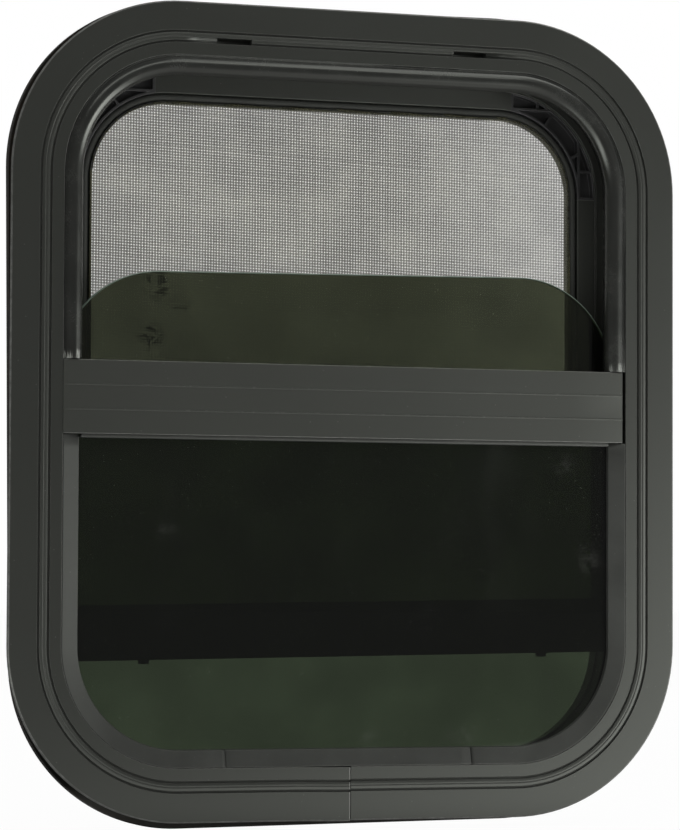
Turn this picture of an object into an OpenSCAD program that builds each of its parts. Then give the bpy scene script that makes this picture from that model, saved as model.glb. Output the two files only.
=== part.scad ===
// Radius-corner caravan window with a fixed lower pane, a dropped sliding sash,
// an insect screen and an inside clamp ring. Millimetres. The outside faces -Y, +Z is up,
// and the origin lies on the back face of the flange, at the middle of its bottom run.
// Every piece is drawn in the plan of the window, seen from outside: X to the right, Y up and
// Z out towards the viewer, with Z = 0 on the back face of the flange. stand() then sets it upright.

/* [Frame outline] */
// Overall width of the flange
frame_w = 354; // [340:1:420]
// Overall height of the flange
frame_h = 409; // [380:1:520]
// Outer corner radius of the flange
corner_r = 87.5; // [80:0.5:100]

/* [Flange face] */
// Thickness of the flange at its face
flange_t = 2.6; // [2.4:0.1:4]
// Bevel along the outer edge of the flange
flange_bevel = 0.7; // [0.3:0.1:1.2]
// Distance from the outer edge to the outer decorative groove
groove_a = 15.2; // [12:0.1:15.5]
// Fall of the rounded bead between the grooves, from its crest to its edges
bead_fall = 0.5; // [0.2:0.1:0.7]
// Distance from the outer decorative groove to the inner one
groove_step = 5; // [4.6:0.1:5.6]
// Width of a decorative groove
groove_w = 1.2; // [0.6:0.1:1.3]
// Depth of a decorative groove
groove_d = 1.1; // [0.8:0.1:1.2]
// Length of a weep slot
slot_len = 18; // [10:0.5:30]
// Height of a weep slot
slot_h = 2.3; // [1:0.1:2.3]
// Distance from the middle of the window to the middle of a weep slot
slot_x = 63.2; // [40:0.5:75]
// Width of the hairline where the frame's two ends meet
seam_w = 0.3; // [0.2:0.1:0.6]
// Depth of that hairline
seam_d = 0.6; // [0.3:0.1:1]
// Length of the plate that joins the frame's ends
joint_len = 60; // [30:1:100]
// Depth of that plate
joint_d = 6.9; // [3:0.1:9]
// Play of that plate in its chamber
joint_play = 0.1; // [0.05:0.05:0.3]

/* [Frame body] */
// Distance from the outer edge to the wall that passes through the cut-out
wall_in = 17; // [16:0.5:18]
// Distance from the outer edge to the rebate that holds the glazing
rebate_in = 27; // [26:0.5:28]
// Distance from the outer edge to the inner face of the inner leg
leg_in = 32.5; // [32:0.5:36]
// Wall thickness of the frame's extrusion
wall_t = 1.4; // [1.2:0.1:1.8]
// Thickness of the face between the grooves and the rebate
skin_t = 2; // [1.8:0.1:2.2]
// Depth of the glazing rebate, from the back of the flange
rebate_d = 6.4; // [6:0.1:9]
// Clear depth of the channel that the sash slides in
channel_d = 6.6; // [6.4:0.1:10]
// Distance from the outer edge to the bottom of the sash channel
channel_in = 25; // [24:0.5:25.5]
// Depth of the screw track behind the sash channel
track_d = 9.9; // [8:0.1:14]
// Width of the slot in the screw track
track_gap = 2.4; // [2:0.1:3]
// Distance from the outer edge to the middle of the screw track
track_in = 24; // [23.5:0.1:25]
// How far the inner leg stands behind the screw track
leg_reveal = 7.7; // [6:0.1:12]
// Width of the bead that stops the screen
stop_w = 1.1; // [0.8:0.1:1.5]
// How far the rebate's floor stops short of the leg's inner face
fin_short = 0.5; // [0.3:0.1:0.8]

/* [Cross rail] */
// Height of the cross rail
rail_h = 36.6; // [30:0.1:44]
// Height of the cross rail's middle above the middle of the window
rail_y = 5.7; // [0:0.1:10]
// Gap between the rail's right end and the frame, on the shorter side of a hand-cut rail
rail_gap = 2; // [0.5:0.1:2.5]
// Gap between the rail's left end and the frame, where it butts
rail_butt = 0.1; // [0.05:0.05:0.5]
// Thickness of the rail's walls
rail_t = 1.5; // [1.2:0.1:2]
// How far the rail's face stands proud of the frame's face
rail_proud = 0.3; // [0.1:0.1:1]
// Height of the rail's two raised lines
bead_h = 0.35; // [0.2:0.05:0.6]
// Width of a raised line
bead_w = 0.8; // [0.5:0.1:1.2]
// How far the fixed pane reaches up into the rail
rail_bite = 6.6; // [5:0.1:8]
// Height of the rail's hook for the pile strip
hook_h = 4; // [3:0.1:6]
// Thickness of that hook
hook_t = 1.2; // [1:0.1:1.6]

/* [Glazing] */
// Thickness of the fixed pane
fixed_t = 4; // [3:0.1:4.2]
// Thickness of the foam tape behind the fixed pane
tape_t = 0.8; // [0.5:0.1:1]
// Width of that tape
tape_w = 4; // [3:0.1:4.4]
// Distance from the rebate wall to the edge of the fixed pane
pane_gap = 0.5; // [0.3:0.1:1]
// Visible width of the lower glazing strip
strip_w = 9; // [7:0.1:10]
// Thickness of the strip's inner lip
strip_lip = 1.1; // [0.8:0.1:1.4]
// How far the strip's outer edge lies behind the frame's face
strip_sink = 0.5; // [0.3:0.05:0.8]
// How far the strip's crown lies behind the frame's face
crown_sink = 0.2; // [0.1:0.05:0.3]
// Distance from the strip's outer edge to its crown
crown_in = 1; // [0.6:0.1:1.5]
// Distance from the strip's outer edge to the start of its slope
slope_in = 3; // [2:0.1:4]
// Length of the short strip that closes the bottom run
splice_len = 130; // [80:1:150]
// Gap at each end of that short strip
splice_gap = 0.4; // [0.3:0.1:0.8]
// Diameter of the upper gasket's bulb
bulb_d = 10; // [8:0.1:10.4]
// How far the bulb's middle lies behind the frame's face
bulb_sink = 3.6; // [3:0.1:4.4]
// Wall thickness of the bulb
bulb_wall = 1.7; // [1.2:0.1:2.4]
// Play of the gasket in the rebate
gasket_play = 0.1; // [0.05:0.05:0.2]
// How far the gasket's foot lies behind the frame's face
gasket_sink = 0.4; // [0.4:0.1:1.4]
// Distance from the leg's inner face to the lip that wipes the sash
wiper_in = 1; // [0.6:0.1:1.4]
// Thickness of that lip
wiper_t = 1.6; // [1:0.1:2]
// Clearance of rubber and plastic pieces from what they lie beside
ease = 0.3; // [0.2:0.05:0.5]

/* [Sliding sash] */
// Gap over the sash's top in the frame when it is closed
sash_top_play = 4; // [2:0.1:6]
// How far the closed sash's foot reaches below the cross rail
sash_lap = 5.8; // [3:0.1:8]
// How far the open sash's foot lies below the start of the frame's lower corners
sash_drop = 5.6; // [3:0.1:6]
// Difference in height between the two ends of the crooked sash
sash_skew = 4.4; // [0:0.1:4.6]
// Side play between the sash pane and the bottom of the channel, each side
sash_play = 3.5; // [3.2:0.1:4.5]
// Corner radius of the sash pane
sash_r = 52; // [40:1:60]
// Thickness of the sash pane
sash_t = 3.2; // [3:0.1:4]
// Height of the sash's lower rail
foot_h = 27.6; // [20:0.1:32]
// Thickness of the lower rail's walls
foot_t = 1.3; // [1:0.1:1.8]
// Gap between the lower rail's ends and the frame's inner legs
foot_play = 2.2; // [1.9:0.1:3]
// Glue line between the sash pane and the walls of its lower rail
glue_t = 0.1; // [0.05:0.05:0.3]
// How far the finger pull stands inwards of the sash pane
pull_out = 7; // [5:0.1:9]
// Height of the finger pull above the sash's foot
pull_rise = 13.8; // [12:0.1:18]
// Depth of the finger pull's lip
pull_lip = 2.2; // [1:0.1:2.4]
// Thickness of the lining on the outer side of the sash channel
liner_t = 1.2; // [0.8:0.1:1.4]
// Thickness of the lining at the bottom of the channel
liner_floor = 0.8; // [0.5:0.1:1.2]
// Length of a bumper below the sash
bumper_len = 5; // [4:0.5:10]
// Height of a bumper
bumper_h = 2; // [1:0.1:3]
// Distance from the end of the sash's lower rail to the middle of a bumper
bumper_in = 36; // [10:1:60]
// Height of the latches above the sash's foot
latch_rise = 2.3; // [1.6:0.1:2.6]
// Length of a latch body
latch_len = 24; // [20:1:30]
// Depth of a latch body
latch_d = 5; // [4.4:0.1:6]
// Height of a latch body
latch_h = 9; // [7:0.1:9]
// Radius of a latch body's corners
latch_r = 1.6; // [0.5:0.1:3]
// Wall at the outer end of a latch body
latch_wall = 2; // [1.2:0.1:3]
// Depth of the slot in which a latch's thumb slide runs
slide_d = 1.6; // [1:0.1:2]
// Length of a thumb slide
thumb_l = 8; // [6:0.1:9]
// Height of a thumb slide
thumb_h = 4.6; // [3:0.1:5]
// How far a thumb slide stands out of its latch
thumb_out = 1.2; // [0.6:0.1:1.6]
// Number of grip grooves across a thumb slide
thumb_grooves = 4; // [1:1:5]
// Width of a grip groove
grip_w = 0.7; // [0.4:0.1:0.9]
// Depth of a grip groove
grip_d = 0.6; // [0.3:0.1:0.8]
// Diameter of a latch pin
pin_d = 2.2; // [1.8:0.1:3]
// Play of a latch pin in its slot, front and back
pin_play = 0.2; // [0.1:0.05:0.3]
// How far a latch pin reaches through the frame's leg
pin_reach = 5; // [4:0.1:6]
// Height of the slots that take the latch pins
catch_h = 8; // [6:0.1:12]
// Number of steps between those slots, from the open to the closed sash
catch_steps = 2; // [1:1:4]

/* [Insect screen] */
// Height of the screen's foot above the cross rail's foot
screen_rise = 1.6; // [0:0.1:10]
// How far the screen's face stands in front of the screw track's seat
screen_lead = 1.3; // [0.8:0.1:2]
// Depth of the screen's frame
screen_d = 6; // [5:0.1:6.6]
// Width of the screen bars' flat outer part
bar_w = 10; // [8:0.1:12]
// Wall thickness of the screen's hollow bars
bar_t = 0.8; // [0.5:0.1:1]
// Width of the spline groove
spline_w = 4.2; // [3:0.1:5]
// Depth of the spline groove
spline_d = 3; // [2:0.1:3.2]
// Width of the lip inside the spline groove
lip_w = 1.2; // [0.8:0.1:2]
// Step from the bars' face down to the spline band
band_step = 1; // [0.5:0.1:1.6]
// Thickness of the mesh as a sheet
mesh_t = 0.4; // [0.3:0.05:0.6]
// Wall thickness of the moulded corners
key_wall = 1.3; // [1:0.1:1.8]
// Depth of the pockets in the moulded corners
pocket_d = 4; // [2:0.1:4.6]
// How far the top bar runs past the start of the corner's curve
bar_over = 7; // [4:0.5:12]
// How far the moulded corner reaches down past the end of its curve
key_tail = 1; // [0.5:0.1:4]
// Length of the first pocket of a moulded corner, beside a bar
key_step = 13; // [8:0.5:16]
// Angles of the two short ribs on the corner's curved wall
key_angles = [27, 55]; // [10:1:80]
// Length of those ribs
key_rib = 5; // [2:0.1:6]
// Length of the tenons that hold the corners in the bars
tenon_l = 14; // [8:1:25]
// Play of a tenon in its bar
tenon_play = 0.2; // [0.1:0.05:0.3]
// Play of the spline in its groove, each side
spline_ease = 0.15; // [0.05:0.05:0.3]
// How far the spline lies below the band
spline_sink = 0.3; // [0.1:0.1:1]

/* [Clamp ring] */
// How far the ring's sides lie inside the flange's sides
ring_side_in = 5.5; // [0:0.5:7]
// How far the ring's ends stand outside the flange's ends
ring_end_out = 3.2; // [0:0.1:5]
// Outer corner radius of the clamp ring
ring_r = 85; // [80:0.5:92]
// How far the loosely fitted ring is skewed at its ends
ring_skew = 2.6; // [0:0.1:2.8]
// Thickness of the ring's plate
ring_t = 1.5; // [1.2:0.1:2]
// Depth of the ring's outer rim
rim_d = 5; // [3:0.1:7]
// Width of the ring's outer rim
rim_w = 3; // [2:0.1:4]
// Clearance between the ring and the frame's screw track
ring_play = 0.2; // [0.1:0.05:0.4]
// Clearance between the ring's inner edge and the inner leg
ring_ease = 2.9; // [2.8:0.1:3.4]
// Diameter of the screw heads
head_d = 6.4; // [5:0.1:7]
// Diameter of the flat on a screw head
head_flat = 3.8; // [2.5:0.1:4.5]
// Diameter of the screws
screw_d = 2.2; // [1.6:0.1:2.3]
// Length of the screws under their heads
screw_len = 9; // [6:0.5:10]
// Height of the screw heads
head_h = 2.2; // [1.6:0.1:3]
// Distance from the start of a corner's curve to the nearest screw in a side
screw_in_y = 22; // [8:1:50]
// Distance from the start of a corner's curve to the screw in the top or the bottom
screw_in_x = 34.5; // [10:0.5:60]

/* [Hidden] */
arc_fn = 128;
eps = 0.01;
over = 1;
far = 2 * max(frame_w, frame_h);
frame_face = flange_t;
rebate_z = -rebate_d;
fin_z = rebate_z - wall_t;
web_z = fin_z - channel_d;
track_z = web_z - wall_t;
seat_z = track_z - track_d;
leg_z = seat_z - leg_reveal;
rail_top = rail_y + rail_h / 2;
rail_bottom = rail_y - rail_h / 2;
pane_z = rebate_z + tape_t;
pane_face = pane_z + fixed_t;
pane_in = rebate_in + pane_gap;
strip_in = rebate_in + ease;
strip_end = strip_in + strip_w;
sash_face = fin_z - liner_t - ease;
sash_back = sash_face - sash_t;
sash_w = frame_w - 2 * (channel_in + sash_play);
sash_foot = corner_r - frame_h / 2 - sash_drop;
sash_h = frame_h / 2 - channel_in - sash_top_play - rail_bottom + sash_lap;
sash_travel = rail_bottom - sash_lap - sash_foot;
sash_turn = asin(sash_skew / sash_w);
sash_mid = sash_foot + sash_h / 2;
foot_w = frame_w - 2 * leg_in - 2 * foot_play;
foot_back = sash_back - glue_t - foot_t;
latch_y = -sash_h / 2 + latch_rise + latch_h / 2;
pin_z = track_z - ease - pin_d / 2;
hook_w = frame_w - 2 * (leg_in + ease);
hook_z = fin_z + ease;
screen_in = leg_in + ease;
screen_foot = rail_bottom + screen_rise;
screen_face = seat_z + screen_lead;
screen_back = screen_face - screen_d;
screen_w = frame_w - 2 * screen_in;
screen_top = frame_h / 2 - screen_in;
screen_r = corner_r - screen_in;
screen_band = bar_w + spline_w + lip_w;
band_z = screen_face - band_step;
key_x = screen_w / 2 - screen_r + bar_over;
key_y = screen_top - screen_r - key_tail;
ring_face = seat_z - ring_play;
ring_in = leg_in - wall_t - ring_ease;
ring_w = frame_w - 2 * ring_side_in;
ring_h = frame_h + 2 * ring_end_out;
ring_turn = asin(ring_skew / (max(ring_w, ring_h) / 2));
seat_in = wall_in / 2;

// Sets a piece drawn in the window's plan upright on the wall
module stand() {
  translate([0, 0, frame_h / 2 - seat_in]) rotate([90, 0, 0]) children();
}

// Carries a section round a rounded rectangle: X out from its outline, Y along the plan's Z
module sweep(w, h, r) {
  for (i = [0:3]) rotate([0, 0, 90 * i]) {
    a = (i % 2 == 0) ? w / 2 : h / 2;
    b = (i % 2 == 0) ? h / 2 : w / 2;
    translate([a - r, b - r, 0])
      rotate_extrude(angle = 90, $fn = arc_fn) translate([r, 0]) children();
    translate([a, b - r, 0]) rotate([90, 0, 0]) linear_extrude(2 * (b - r)) children();
  }
}

// Sweeps a section round the frame's own outline
module frame_sweep() {
  sweep(frame_w, frame_h, corner_r) children();
}

// A rectangle of a section, from inset p0 to p1 and from depth z0 to z1
module cell(p0, p1, z0, z1) {
  translate([-p1, z0]) square([p1 - p0, z1 - z0]);
}

// A slab of the plan between two heights
module between(y0, y1) {
  translate([-far / 2, y0, -far / 2]) cube([far, y1 - y0, far]);
}

// A rounded rectangle lying in the plan, from its own middle
module plate(w, h, r, t) {
  linear_extrude(t) rounded(w, h, r);
}
module rounded(w, h, r) {
  square([w - 2 * r, h], center = true);
  square([w, h - 2 * r], center = true);
  for (x = [-1, 1], y = [-1, 1])
    translate([x * (w / 2 - r), y * (h / 2 - r)]) circle(r, $fn = arc_fn);
}

// Section of what is taken away above the rounded bead between the grooves
module above_bead() {
  half = (groove_step - groove_w) / 2;
  bead_r = (half * half + bead_fall * bead_fall) / (2 * bead_fall);
  difference() {
    cell(groove_a, groove_a + groove_step, flange_t - bead_fall, flange_t + over);
    translate([-groove_a - groove_step / 2, flange_t - bead_r]) circle(bead_r, $fn = 96);
  }
}

// Section of the flange with its bevelled edge, decorative grooves and bead
module flange_section() {
  difference() {
    union() {
      polygon([[0, 0], [0, flange_t - flange_bevel], [-flange_bevel, flange_t],
               [-wall_in - wall_t, flange_t], [-wall_in - wall_t, 0]]);
      cell(wall_in, rebate_in, flange_t - skin_t, flange_t);
    }
    for (p = [groove_a, groove_a + groove_step])
      cell(p - groove_w / 2, p + groove_w / 2, flange_t - groove_d, flange_t + over);
    above_bead();
  }
}

// Section of the frame's extrusion
module frame_section() {
  flange_section();
  cell(wall_in, wall_in + wall_t, seat_z, eps);
  cell(rebate_in - wall_t, rebate_in, fin_z, flange_t - skin_t + eps);
  cell(channel_in - wall_t, leg_in - fin_short, fin_z, rebate_z);
  cell(channel_in - wall_t, channel_in, track_z, fin_z + eps);
  cell(wall_in, leg_in, track_z, web_z);
  cell(leg_in - wall_t, leg_in, leg_z, track_z + eps);
  cell(leg_in - eps, leg_in + stop_w, screen_face + ease, screen_face + ease + stop_w);
  for (s = [-1, 1]) {
    rib = track_in + s * (track_gap + wall_t) / 2;
    cell(rib - wall_t / 2, rib + wall_t / 2, seat_z, track_z + eps);
  }
}

module outer_frame() color([0.18, 0.18, 0.18]) stand() difference() {
  frame_sweep() frame_section();
  for (s = [-1, 1])
    translate([s * slot_x - slot_len / 2, frame_h / 2 - groove_a - groove_step - groove_w / 2,
               flange_t - skin_t - over])
      cube([slot_len, slot_h, skin_t + 2 * over]);
  translate([-seam_w / 2, -far / 2, flange_t - seam_d]) cube([seam_w, far / 2, seam_d + over]);
  for (k = [0:catch_steps], s = [-1, 1])
    translate([s * (frame_w / 2 - leg_in) - wall_t - over,
               sash_mid + latch_y + k * sash_travel / catch_steps - catch_h / 2,
               pin_z - pin_d / 2 - pin_play])
      cube([2 * (wall_t + over), catch_h, pin_d + 2 * pin_play]);
}

// Flat key in the back of the frame, across the joint of its two ends
module frame_joint_plate() color([0.5, 0.5, 0.5]) stand()
  translate([-joint_len / 2, -frame_h / 2 + wall_in + wall_t + joint_play,
             track_z - joint_play - joint_d])
    cube([joint_len, track_in - track_gap / 2 - wall_in - 2 * wall_t - 2 * joint_play, joint_d]);

// Section of the cross rail: X is up from the rail's foot, Y out towards the viewer
module rail_section() {
  face = frame_face + rail_proud;
  translate([0, face - rail_t]) square([rail_h, rail_t]);
  translate([rail_h - rail_t, rebate_z + ease]) square([rail_t, face - rebate_z - ease - eps]);
  translate([rail_bite + pane_gap, rebate_z + ease]) square([rail_t, face - rebate_z - ease - eps]);
  translate([0, pane_face + ease]) square([rail_t, face - pane_face - ease - eps]);
  for (x = [rail_h / 3, rail_h * 2 / 3])
    translate([x - bead_w / 2, face - eps]) square([bead_w, bead_h + eps]);
}

module cross_rail() color([0.2, 0.2, 0.2]) stand() {
  x0 = -frame_w / 2 + rebate_in + rail_butt;
  x1 = frame_w / 2 - rebate_in - rail_gap;
  translate([x0, rail_bottom, 0]) rotate([90, 0, 90]) linear_extrude(x1 - x0) rail_section();
  // Hook that carries the pile strip against the sash
  translate([-hook_w / 2, rail_top - rail_t - hook_h, hook_z]) cube([hook_w, hook_h + eps, hook_t]);
  translate([-hook_w / 2, rail_top - rail_t, hook_z]) cube([hook_w, rail_t, -hook_z]);
}

module rail_pile_strip() color([0.1, 0.1, 0.1]) stand()
  translate([-hook_w / 2, rail_top - rail_t - hook_h, sash_face + ease])
    cube([hook_w, hook_h, hook_z - sash_face - ease]);

// Section of the upper gasket: a foot in the rebate, a hollow bulb and a lip that wipes the sash
module gasket_section() {
  foot_in = rebate_in + gasket_play;
  difference() {
    union() {
      cell(foot_in, leg_in, rebate_z + gasket_play, frame_face - gasket_sink);
      translate([-foot_in - bulb_d / 2, frame_face - bulb_sink]) circle(d = bulb_d, $fn = 48);
      cell(leg_in + wiper_in, leg_in + wiper_in + wiper_t, sash_face + ease, frame_face - bulb_sink);
    }
    translate([-foot_in - bulb_d / 2, frame_face - bulb_sink])
      circle(d = bulb_d - 2 * bulb_wall, $fn = 32);
  }
}

module upper_gasket() color([0.13, 0.13, 0.13]) stand() intersection() {
  frame_sweep() gasket_section();
  between(rail_top + ease, far / 2);
}

// Section of the lower glazing strip, sloping down towards the pane
module strip_section() {
  polygon([[-strip_in, pane_face], [-strip_in, frame_face - strip_sink],
           [-strip_in - crown_in, frame_face - crown_sink],
           [-strip_in - slope_in, frame_face - strip_sink],
           [-strip_end, pane_face + strip_lip], [-strip_end, pane_face]]);
}

module strip_piece(x0, x1) color([0.22, 0.22, 0.22]) stand() intersection() {
  frame_sweep() strip_section();
  translate([x0, -far / 2, -far / 2]) cube([x1 - x0, far / 2 + rail_bottom - ease, far]);
}

module glazing_strip_left() strip_piece(-far / 2, -splice_len / 2 - splice_gap);
module glazing_strip_right() strip_piece(splice_len / 2 + splice_gap, far / 2);
module glazing_strip_bottom() strip_piece(-splice_len / 2, splice_len / 2);

module glazing_tape() color([0.08, 0.08, 0.08]) stand() intersection() {
  frame_sweep() cell(pane_in, pane_in + tape_w, rebate_z, pane_z);
  between(-far / 2, rail_bottom);
}

module fixed_glass() color([0.1, 0.14, 0.1, 0.6]) stand() intersection() {
  translate([0, 0, pane_z])
    plate(frame_w - 2 * pane_in, frame_h - 2 * pane_in, corner_r - pane_in, fixed_t);
  between(-far / 2, rail_bottom + rail_bite);
}

// Turns a piece with the sash, about the sash's own middle
module sash() {
  translate([0, sash_mid, 0]) rotate([0, 0, sash_turn]) children();
}

module sash_glass() color([0.1, 0.14, 0.1, 0.6]) stand() sash()
  translate([0, 0, sash_back]) intersection() {
    translate([0, -sash_r, 0]) plate(sash_w, sash_h + 2 * sash_r, sash_r, sash_t);
    translate([-far / 2, -sash_h / 2 + foot_t + pane_gap, 0]) cube([far, far, far]);
  }

// Section of the sash's lower rail: X is up from its foot, Y out towards the viewer
module foot_section() {
  translate([0, sash_face + glue_t]) square([foot_h, foot_t]);
  translate([0, foot_back]) square([foot_h, foot_t]);
  translate([0, foot_back]) square([foot_t, sash_face + glue_t + foot_t - foot_back]);
  translate([pull_rise, sash_back - pull_out]) square([foot_t, pull_out - glue_t - eps]);
  translate([pull_rise - pull_lip, sash_back - pull_out]) square([pull_lip + eps, foot_t]);
}

module sash_rail() color([0.1, 0.1, 0.1]) stand() sash()
  translate([-foot_w / 2, -sash_h / 2, 0]) rotate([90, 0, 90]) linear_extrude(foot_w) foot_section();

module sash_bumpers() color([0.05, 0.05, 0.05]) stand() sash()
  for (s = [-1, 1])
    translate([s * (foot_w / 2 - bumper_in) - bumper_len / 2, -sash_h / 2 - bumper_h, sash_back])
      cube([bumper_len, bumper_h, sash_t]);

// A latch from the middle of its outer end, with its thumb slide pushed out
module latch() {
  slot_l = thumb_l + pin_reach + 2 * ease;
  difference() {
    translate([-latch_len / 2, 0, -latch_d]) plate(latch_len, latch_h, latch_r, latch_d);
    translate([-latch_wall - slot_l, -thumb_h / 2 - ease, -latch_d - over])
      cube([slot_l, thumb_h + 2 * ease, slide_d + over]);
  }
  translate([-latch_wall - ease - thumb_l, -thumb_h / 2, -latch_d - thumb_out]) difference() {
    cube([thumb_l, thumb_h, thumb_out + slide_d + eps]);
    for (k = [1:thumb_grooves])
      translate([k * thumb_l / (thumb_grooves + 1) - grip_w / 2, -over, -over])
        cube([grip_w, thumb_h + 2 * over, grip_d + over]);
  }
}

module sash_latches() color([0.06, 0.06, 0.06]) stand() sash()
  for (s = [-1, 1]) mirror([s < 0 ? 1 : 0, 0, 0]) {
    translate([foot_w / 2, latch_y, foot_back]) latch();
    translate([foot_w / 2 - eps, latch_y, pin_z]) rotate([0, 90, 0])
      cylinder(d = pin_d, h = pin_reach, $fn = 32);
  }

// Lining of one sash channel
module liner() {
  cell(channel_in, leg_in - fin_short, fin_z - liner_t, fin_z);
  cell(channel_in, channel_in + liner_floor, web_z, fin_z);
  cell(channel_in, leg_in - fin_short, web_z, sash_back - ease);
}

module run_channel(s) color([0.12, 0.12, 0.12]) stand()
  translate([s * frame_w / 2, frame_h / 2 - corner_r, 0]) mirror([s < 0 ? 1 : 0, 0, 0])
    rotate([90, 0, 0]) linear_extrude(frame_h - 2 * corner_r) liner();

module run_channel_left() run_channel(-1);
module run_channel_right() run_channel(1);

// Outline of the screen at an inset from its outer edge: round above, square below
module screen_shape(inset) {
  r = screen_r - inset;
  y0 = screen_foot + inset;
  y1 = screen_top - inset;
  w = screen_w - 2 * inset;
  translate([-w / 2, y0]) square([w, y1 - y0 - r]);
  translate([-w / 2 + r, y0]) square([w - 2 * r, y1 - y0]);
  for (x = [-1, 1]) translate([x * (w / 2 - r), y1 - r]) circle(r, $fn = arc_fn);
}

// A band of the screen between two insets
module screen_band_of(inset_a, inset_b) {
  difference() {
    screen_shape(inset_a);
    screen_shape(inset_b);
  }
}

// The screen's frame in one piece, before it is divided into bars and corners
module screen_body() {
  difference() {
    union() {
      translate([0, 0, screen_back]) linear_extrude(screen_d) screen_band_of(0, bar_w);
      translate([0, 0, screen_back])
        linear_extrude(screen_d - band_step) screen_band_of(bar_w - eps, screen_band);
    }
    translate([0, 0, band_z - spline_d])
      linear_extrude(spline_d + screen_d) screen_band_of(bar_w, bar_w + spline_w);
  }
}

// A rectangular zone of the plan through the screen's depth
module zone(x0, x1, y0, y1) {
  translate([x0, y0, screen_back - over]) cube([x1 - x0, y1 - y0, screen_d + 2 * over]);
}

// The part of the screen's frame that is made as hollow bars
module bar_body() {
  difference() {
    screen_body();
    translate([0, 0, screen_back + bar_t])
      linear_extrude(screen_d - 2 * bar_t) screen_band_of(bar_t, bar_w - bar_t);
  }
}

module screen_top_bar() color([0.14, 0.14, 0.14]) stand() intersection() {
  bar_body();
  zone(-key_x, key_x, screen_top - screen_band - over, screen_top + over);
}

module screen_side_bar(s) color([0.14, 0.14, 0.14]) stand() mirror([s < 0 ? 1 : 0, 0, 0])
  intersection() {
    bar_body();
    zone(screen_w / 2 - screen_band - over, screen_w / 2 + over, screen_foot + screen_band, key_y);
  }

module screen_left_bar() screen_side_bar(-1);
module screen_right_bar() screen_side_bar(1);

module screen_bottom_bar() color([0.14, 0.14, 0.14]) stand() intersection() {
  bar_body();
  zone(-screen_w / 2 + screen_band, screen_w / 2 - screen_band, screen_foot - over,
       screen_foot + screen_band);
}

// Tenon of a moulded corner, from the corner's end at the origin, along +X inside its bar, whose
// outer side has sagged that much by its end
module tenon(sag = 0) {
  gap = bar_t + tenon_play;
  translate([-eps, -bar_w + gap, screen_back + gap])
    cube([tenon_l + eps, bar_w - 2 * gap - sag, screen_d - 2 * gap]);
}

// Pockets of a moulded corner, drawn from the middle of its curve
module corner_pockets() {
  wall_r = screen_r - bar_w;
  translate([screen_w / 2 - screen_r, screen_top - screen_r, screen_face - pocket_d])
    linear_extrude(pocket_d + over) difference() {
      translate([0, -key_tail]) intersection() {
        translate([0, key_tail]) circle(screen_r - key_wall, $fn = arc_fn);
        square(screen_r);
      }
      circle(wall_r + key_wall, $fn = arc_fn);
      // Walls in line with the inner sides of the two bars
      translate([0, wall_r]) square([screen_r, key_wall]);
      translate([wall_r, -key_tail]) square([key_wall, screen_r]);
      // End wall and cross rib of each arm
      for (x = [0, key_wall + key_step])
        translate([bar_over + x, wall_r]) square([key_wall, bar_w]);
      for (y = [0, key_wall + key_step])
        translate([wall_r, y - key_tail]) square([bar_w, key_wall]);
      for (a = key_angles) rotate(a)
        translate([wall_r, -key_wall / 2]) square([key_wall + key_rib, key_wall]);
    }
}

module screen_top_corner(s) color([0.1, 0.1, 0.1]) stand() mirror([s < 0 ? 1 : 0, 0, 0]) {
  difference() {
    intersection() {
      screen_body();
      zone(key_x, screen_w / 2 + over, key_y, screen_top + over);
    }
    corner_pockets();
  }
  translate([key_x, screen_top, 0]) mirror([1, 0, 0])
    tenon(screen_r - sqrt(screen_r * screen_r - bar_over * bar_over));
  translate([screen_w / 2, key_y, 0]) rotate([0, 0, -90]) tenon();
}

module screen_corner_top_left() screen_top_corner(-1);
module screen_corner_top_right() screen_top_corner(1);

module screen_bottom_corner(s) color([0.1, 0.1, 0.1]) stand() mirror([s < 0 ? 1 : 0, 0, 0]) {
  intersection() {
    screen_body();
    zone(screen_w / 2 - screen_band, screen_w / 2 + over, screen_foot - over,
         screen_foot + screen_band);
  }
  translate([screen_w / 2 - screen_band, screen_foot + bar_w, 0]) mirror([1, 0, 0]) tenon();
  translate([screen_w / 2, screen_foot + screen_band, 0]) rotate([0, 0, 90])
    translate([0, bar_w, 0]) tenon();
}

module screen_corner_bottom_left() screen_bottom_corner(-1);
module screen_corner_bottom_right() screen_bottom_corner(1);

module screen_spline() color([0.07, 0.07, 0.07]) stand()
  translate([0, 0, band_z - spline_d]) linear_extrude(spline_d - spline_sink)
    screen_band_of(bar_w + spline_ease, bar_w + spline_w - spline_ease);

module screen_mesh() color([0.5, 0.5, 0.5, 0.5]) stand()
  translate([0, 0, band_z]) linear_extrude(mesh_t) screen_shape(bar_w + spline_w + spline_ease);

// Turns a piece with the clamp ring
module ring_turned() {
  rotate([0, 0, ring_turn]) children();
}

// Middles of the clamp ring's screws, all in the frame's screw track
module at_screws() {
  x = frame_w / 2 - track_in;
  y = frame_h / 2 - track_in;
  for (s = [-1, 1]) {
    for (k = [-1, 0, 1]) translate([s * x, k * (frame_h / 2 - corner_r - screw_in_y)]) children();
    for (k = [-1, 1]) translate([k * (frame_w / 2 - corner_r - screw_in_x), s * y]) children();
  }
}

module clamp_ring() color([0.18, 0.18, 0.18]) stand() difference() {
  ring_turned() {
    translate([0, 0, ring_face - ring_t]) linear_extrude(ring_t) difference() {
      rounded(ring_w, ring_h, ring_r);
      rounded(frame_w - 2 * ring_in, frame_h - 2 * ring_in, corner_r - ring_in);
    }
    translate([0, 0, ring_face - eps]) linear_extrude(rim_d) difference() {
      rounded(ring_w, ring_h, ring_r);
      rounded(ring_w - 2 * rim_w, ring_h - 2 * rim_w, ring_r - rim_w);
    }
  }
  at_screws() translate([0, 0, ring_face - ring_t - over])
    cylinder(d = screw_d + 2 * ease, h = ring_t + 2 * over, $fn = 32);
}

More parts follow.
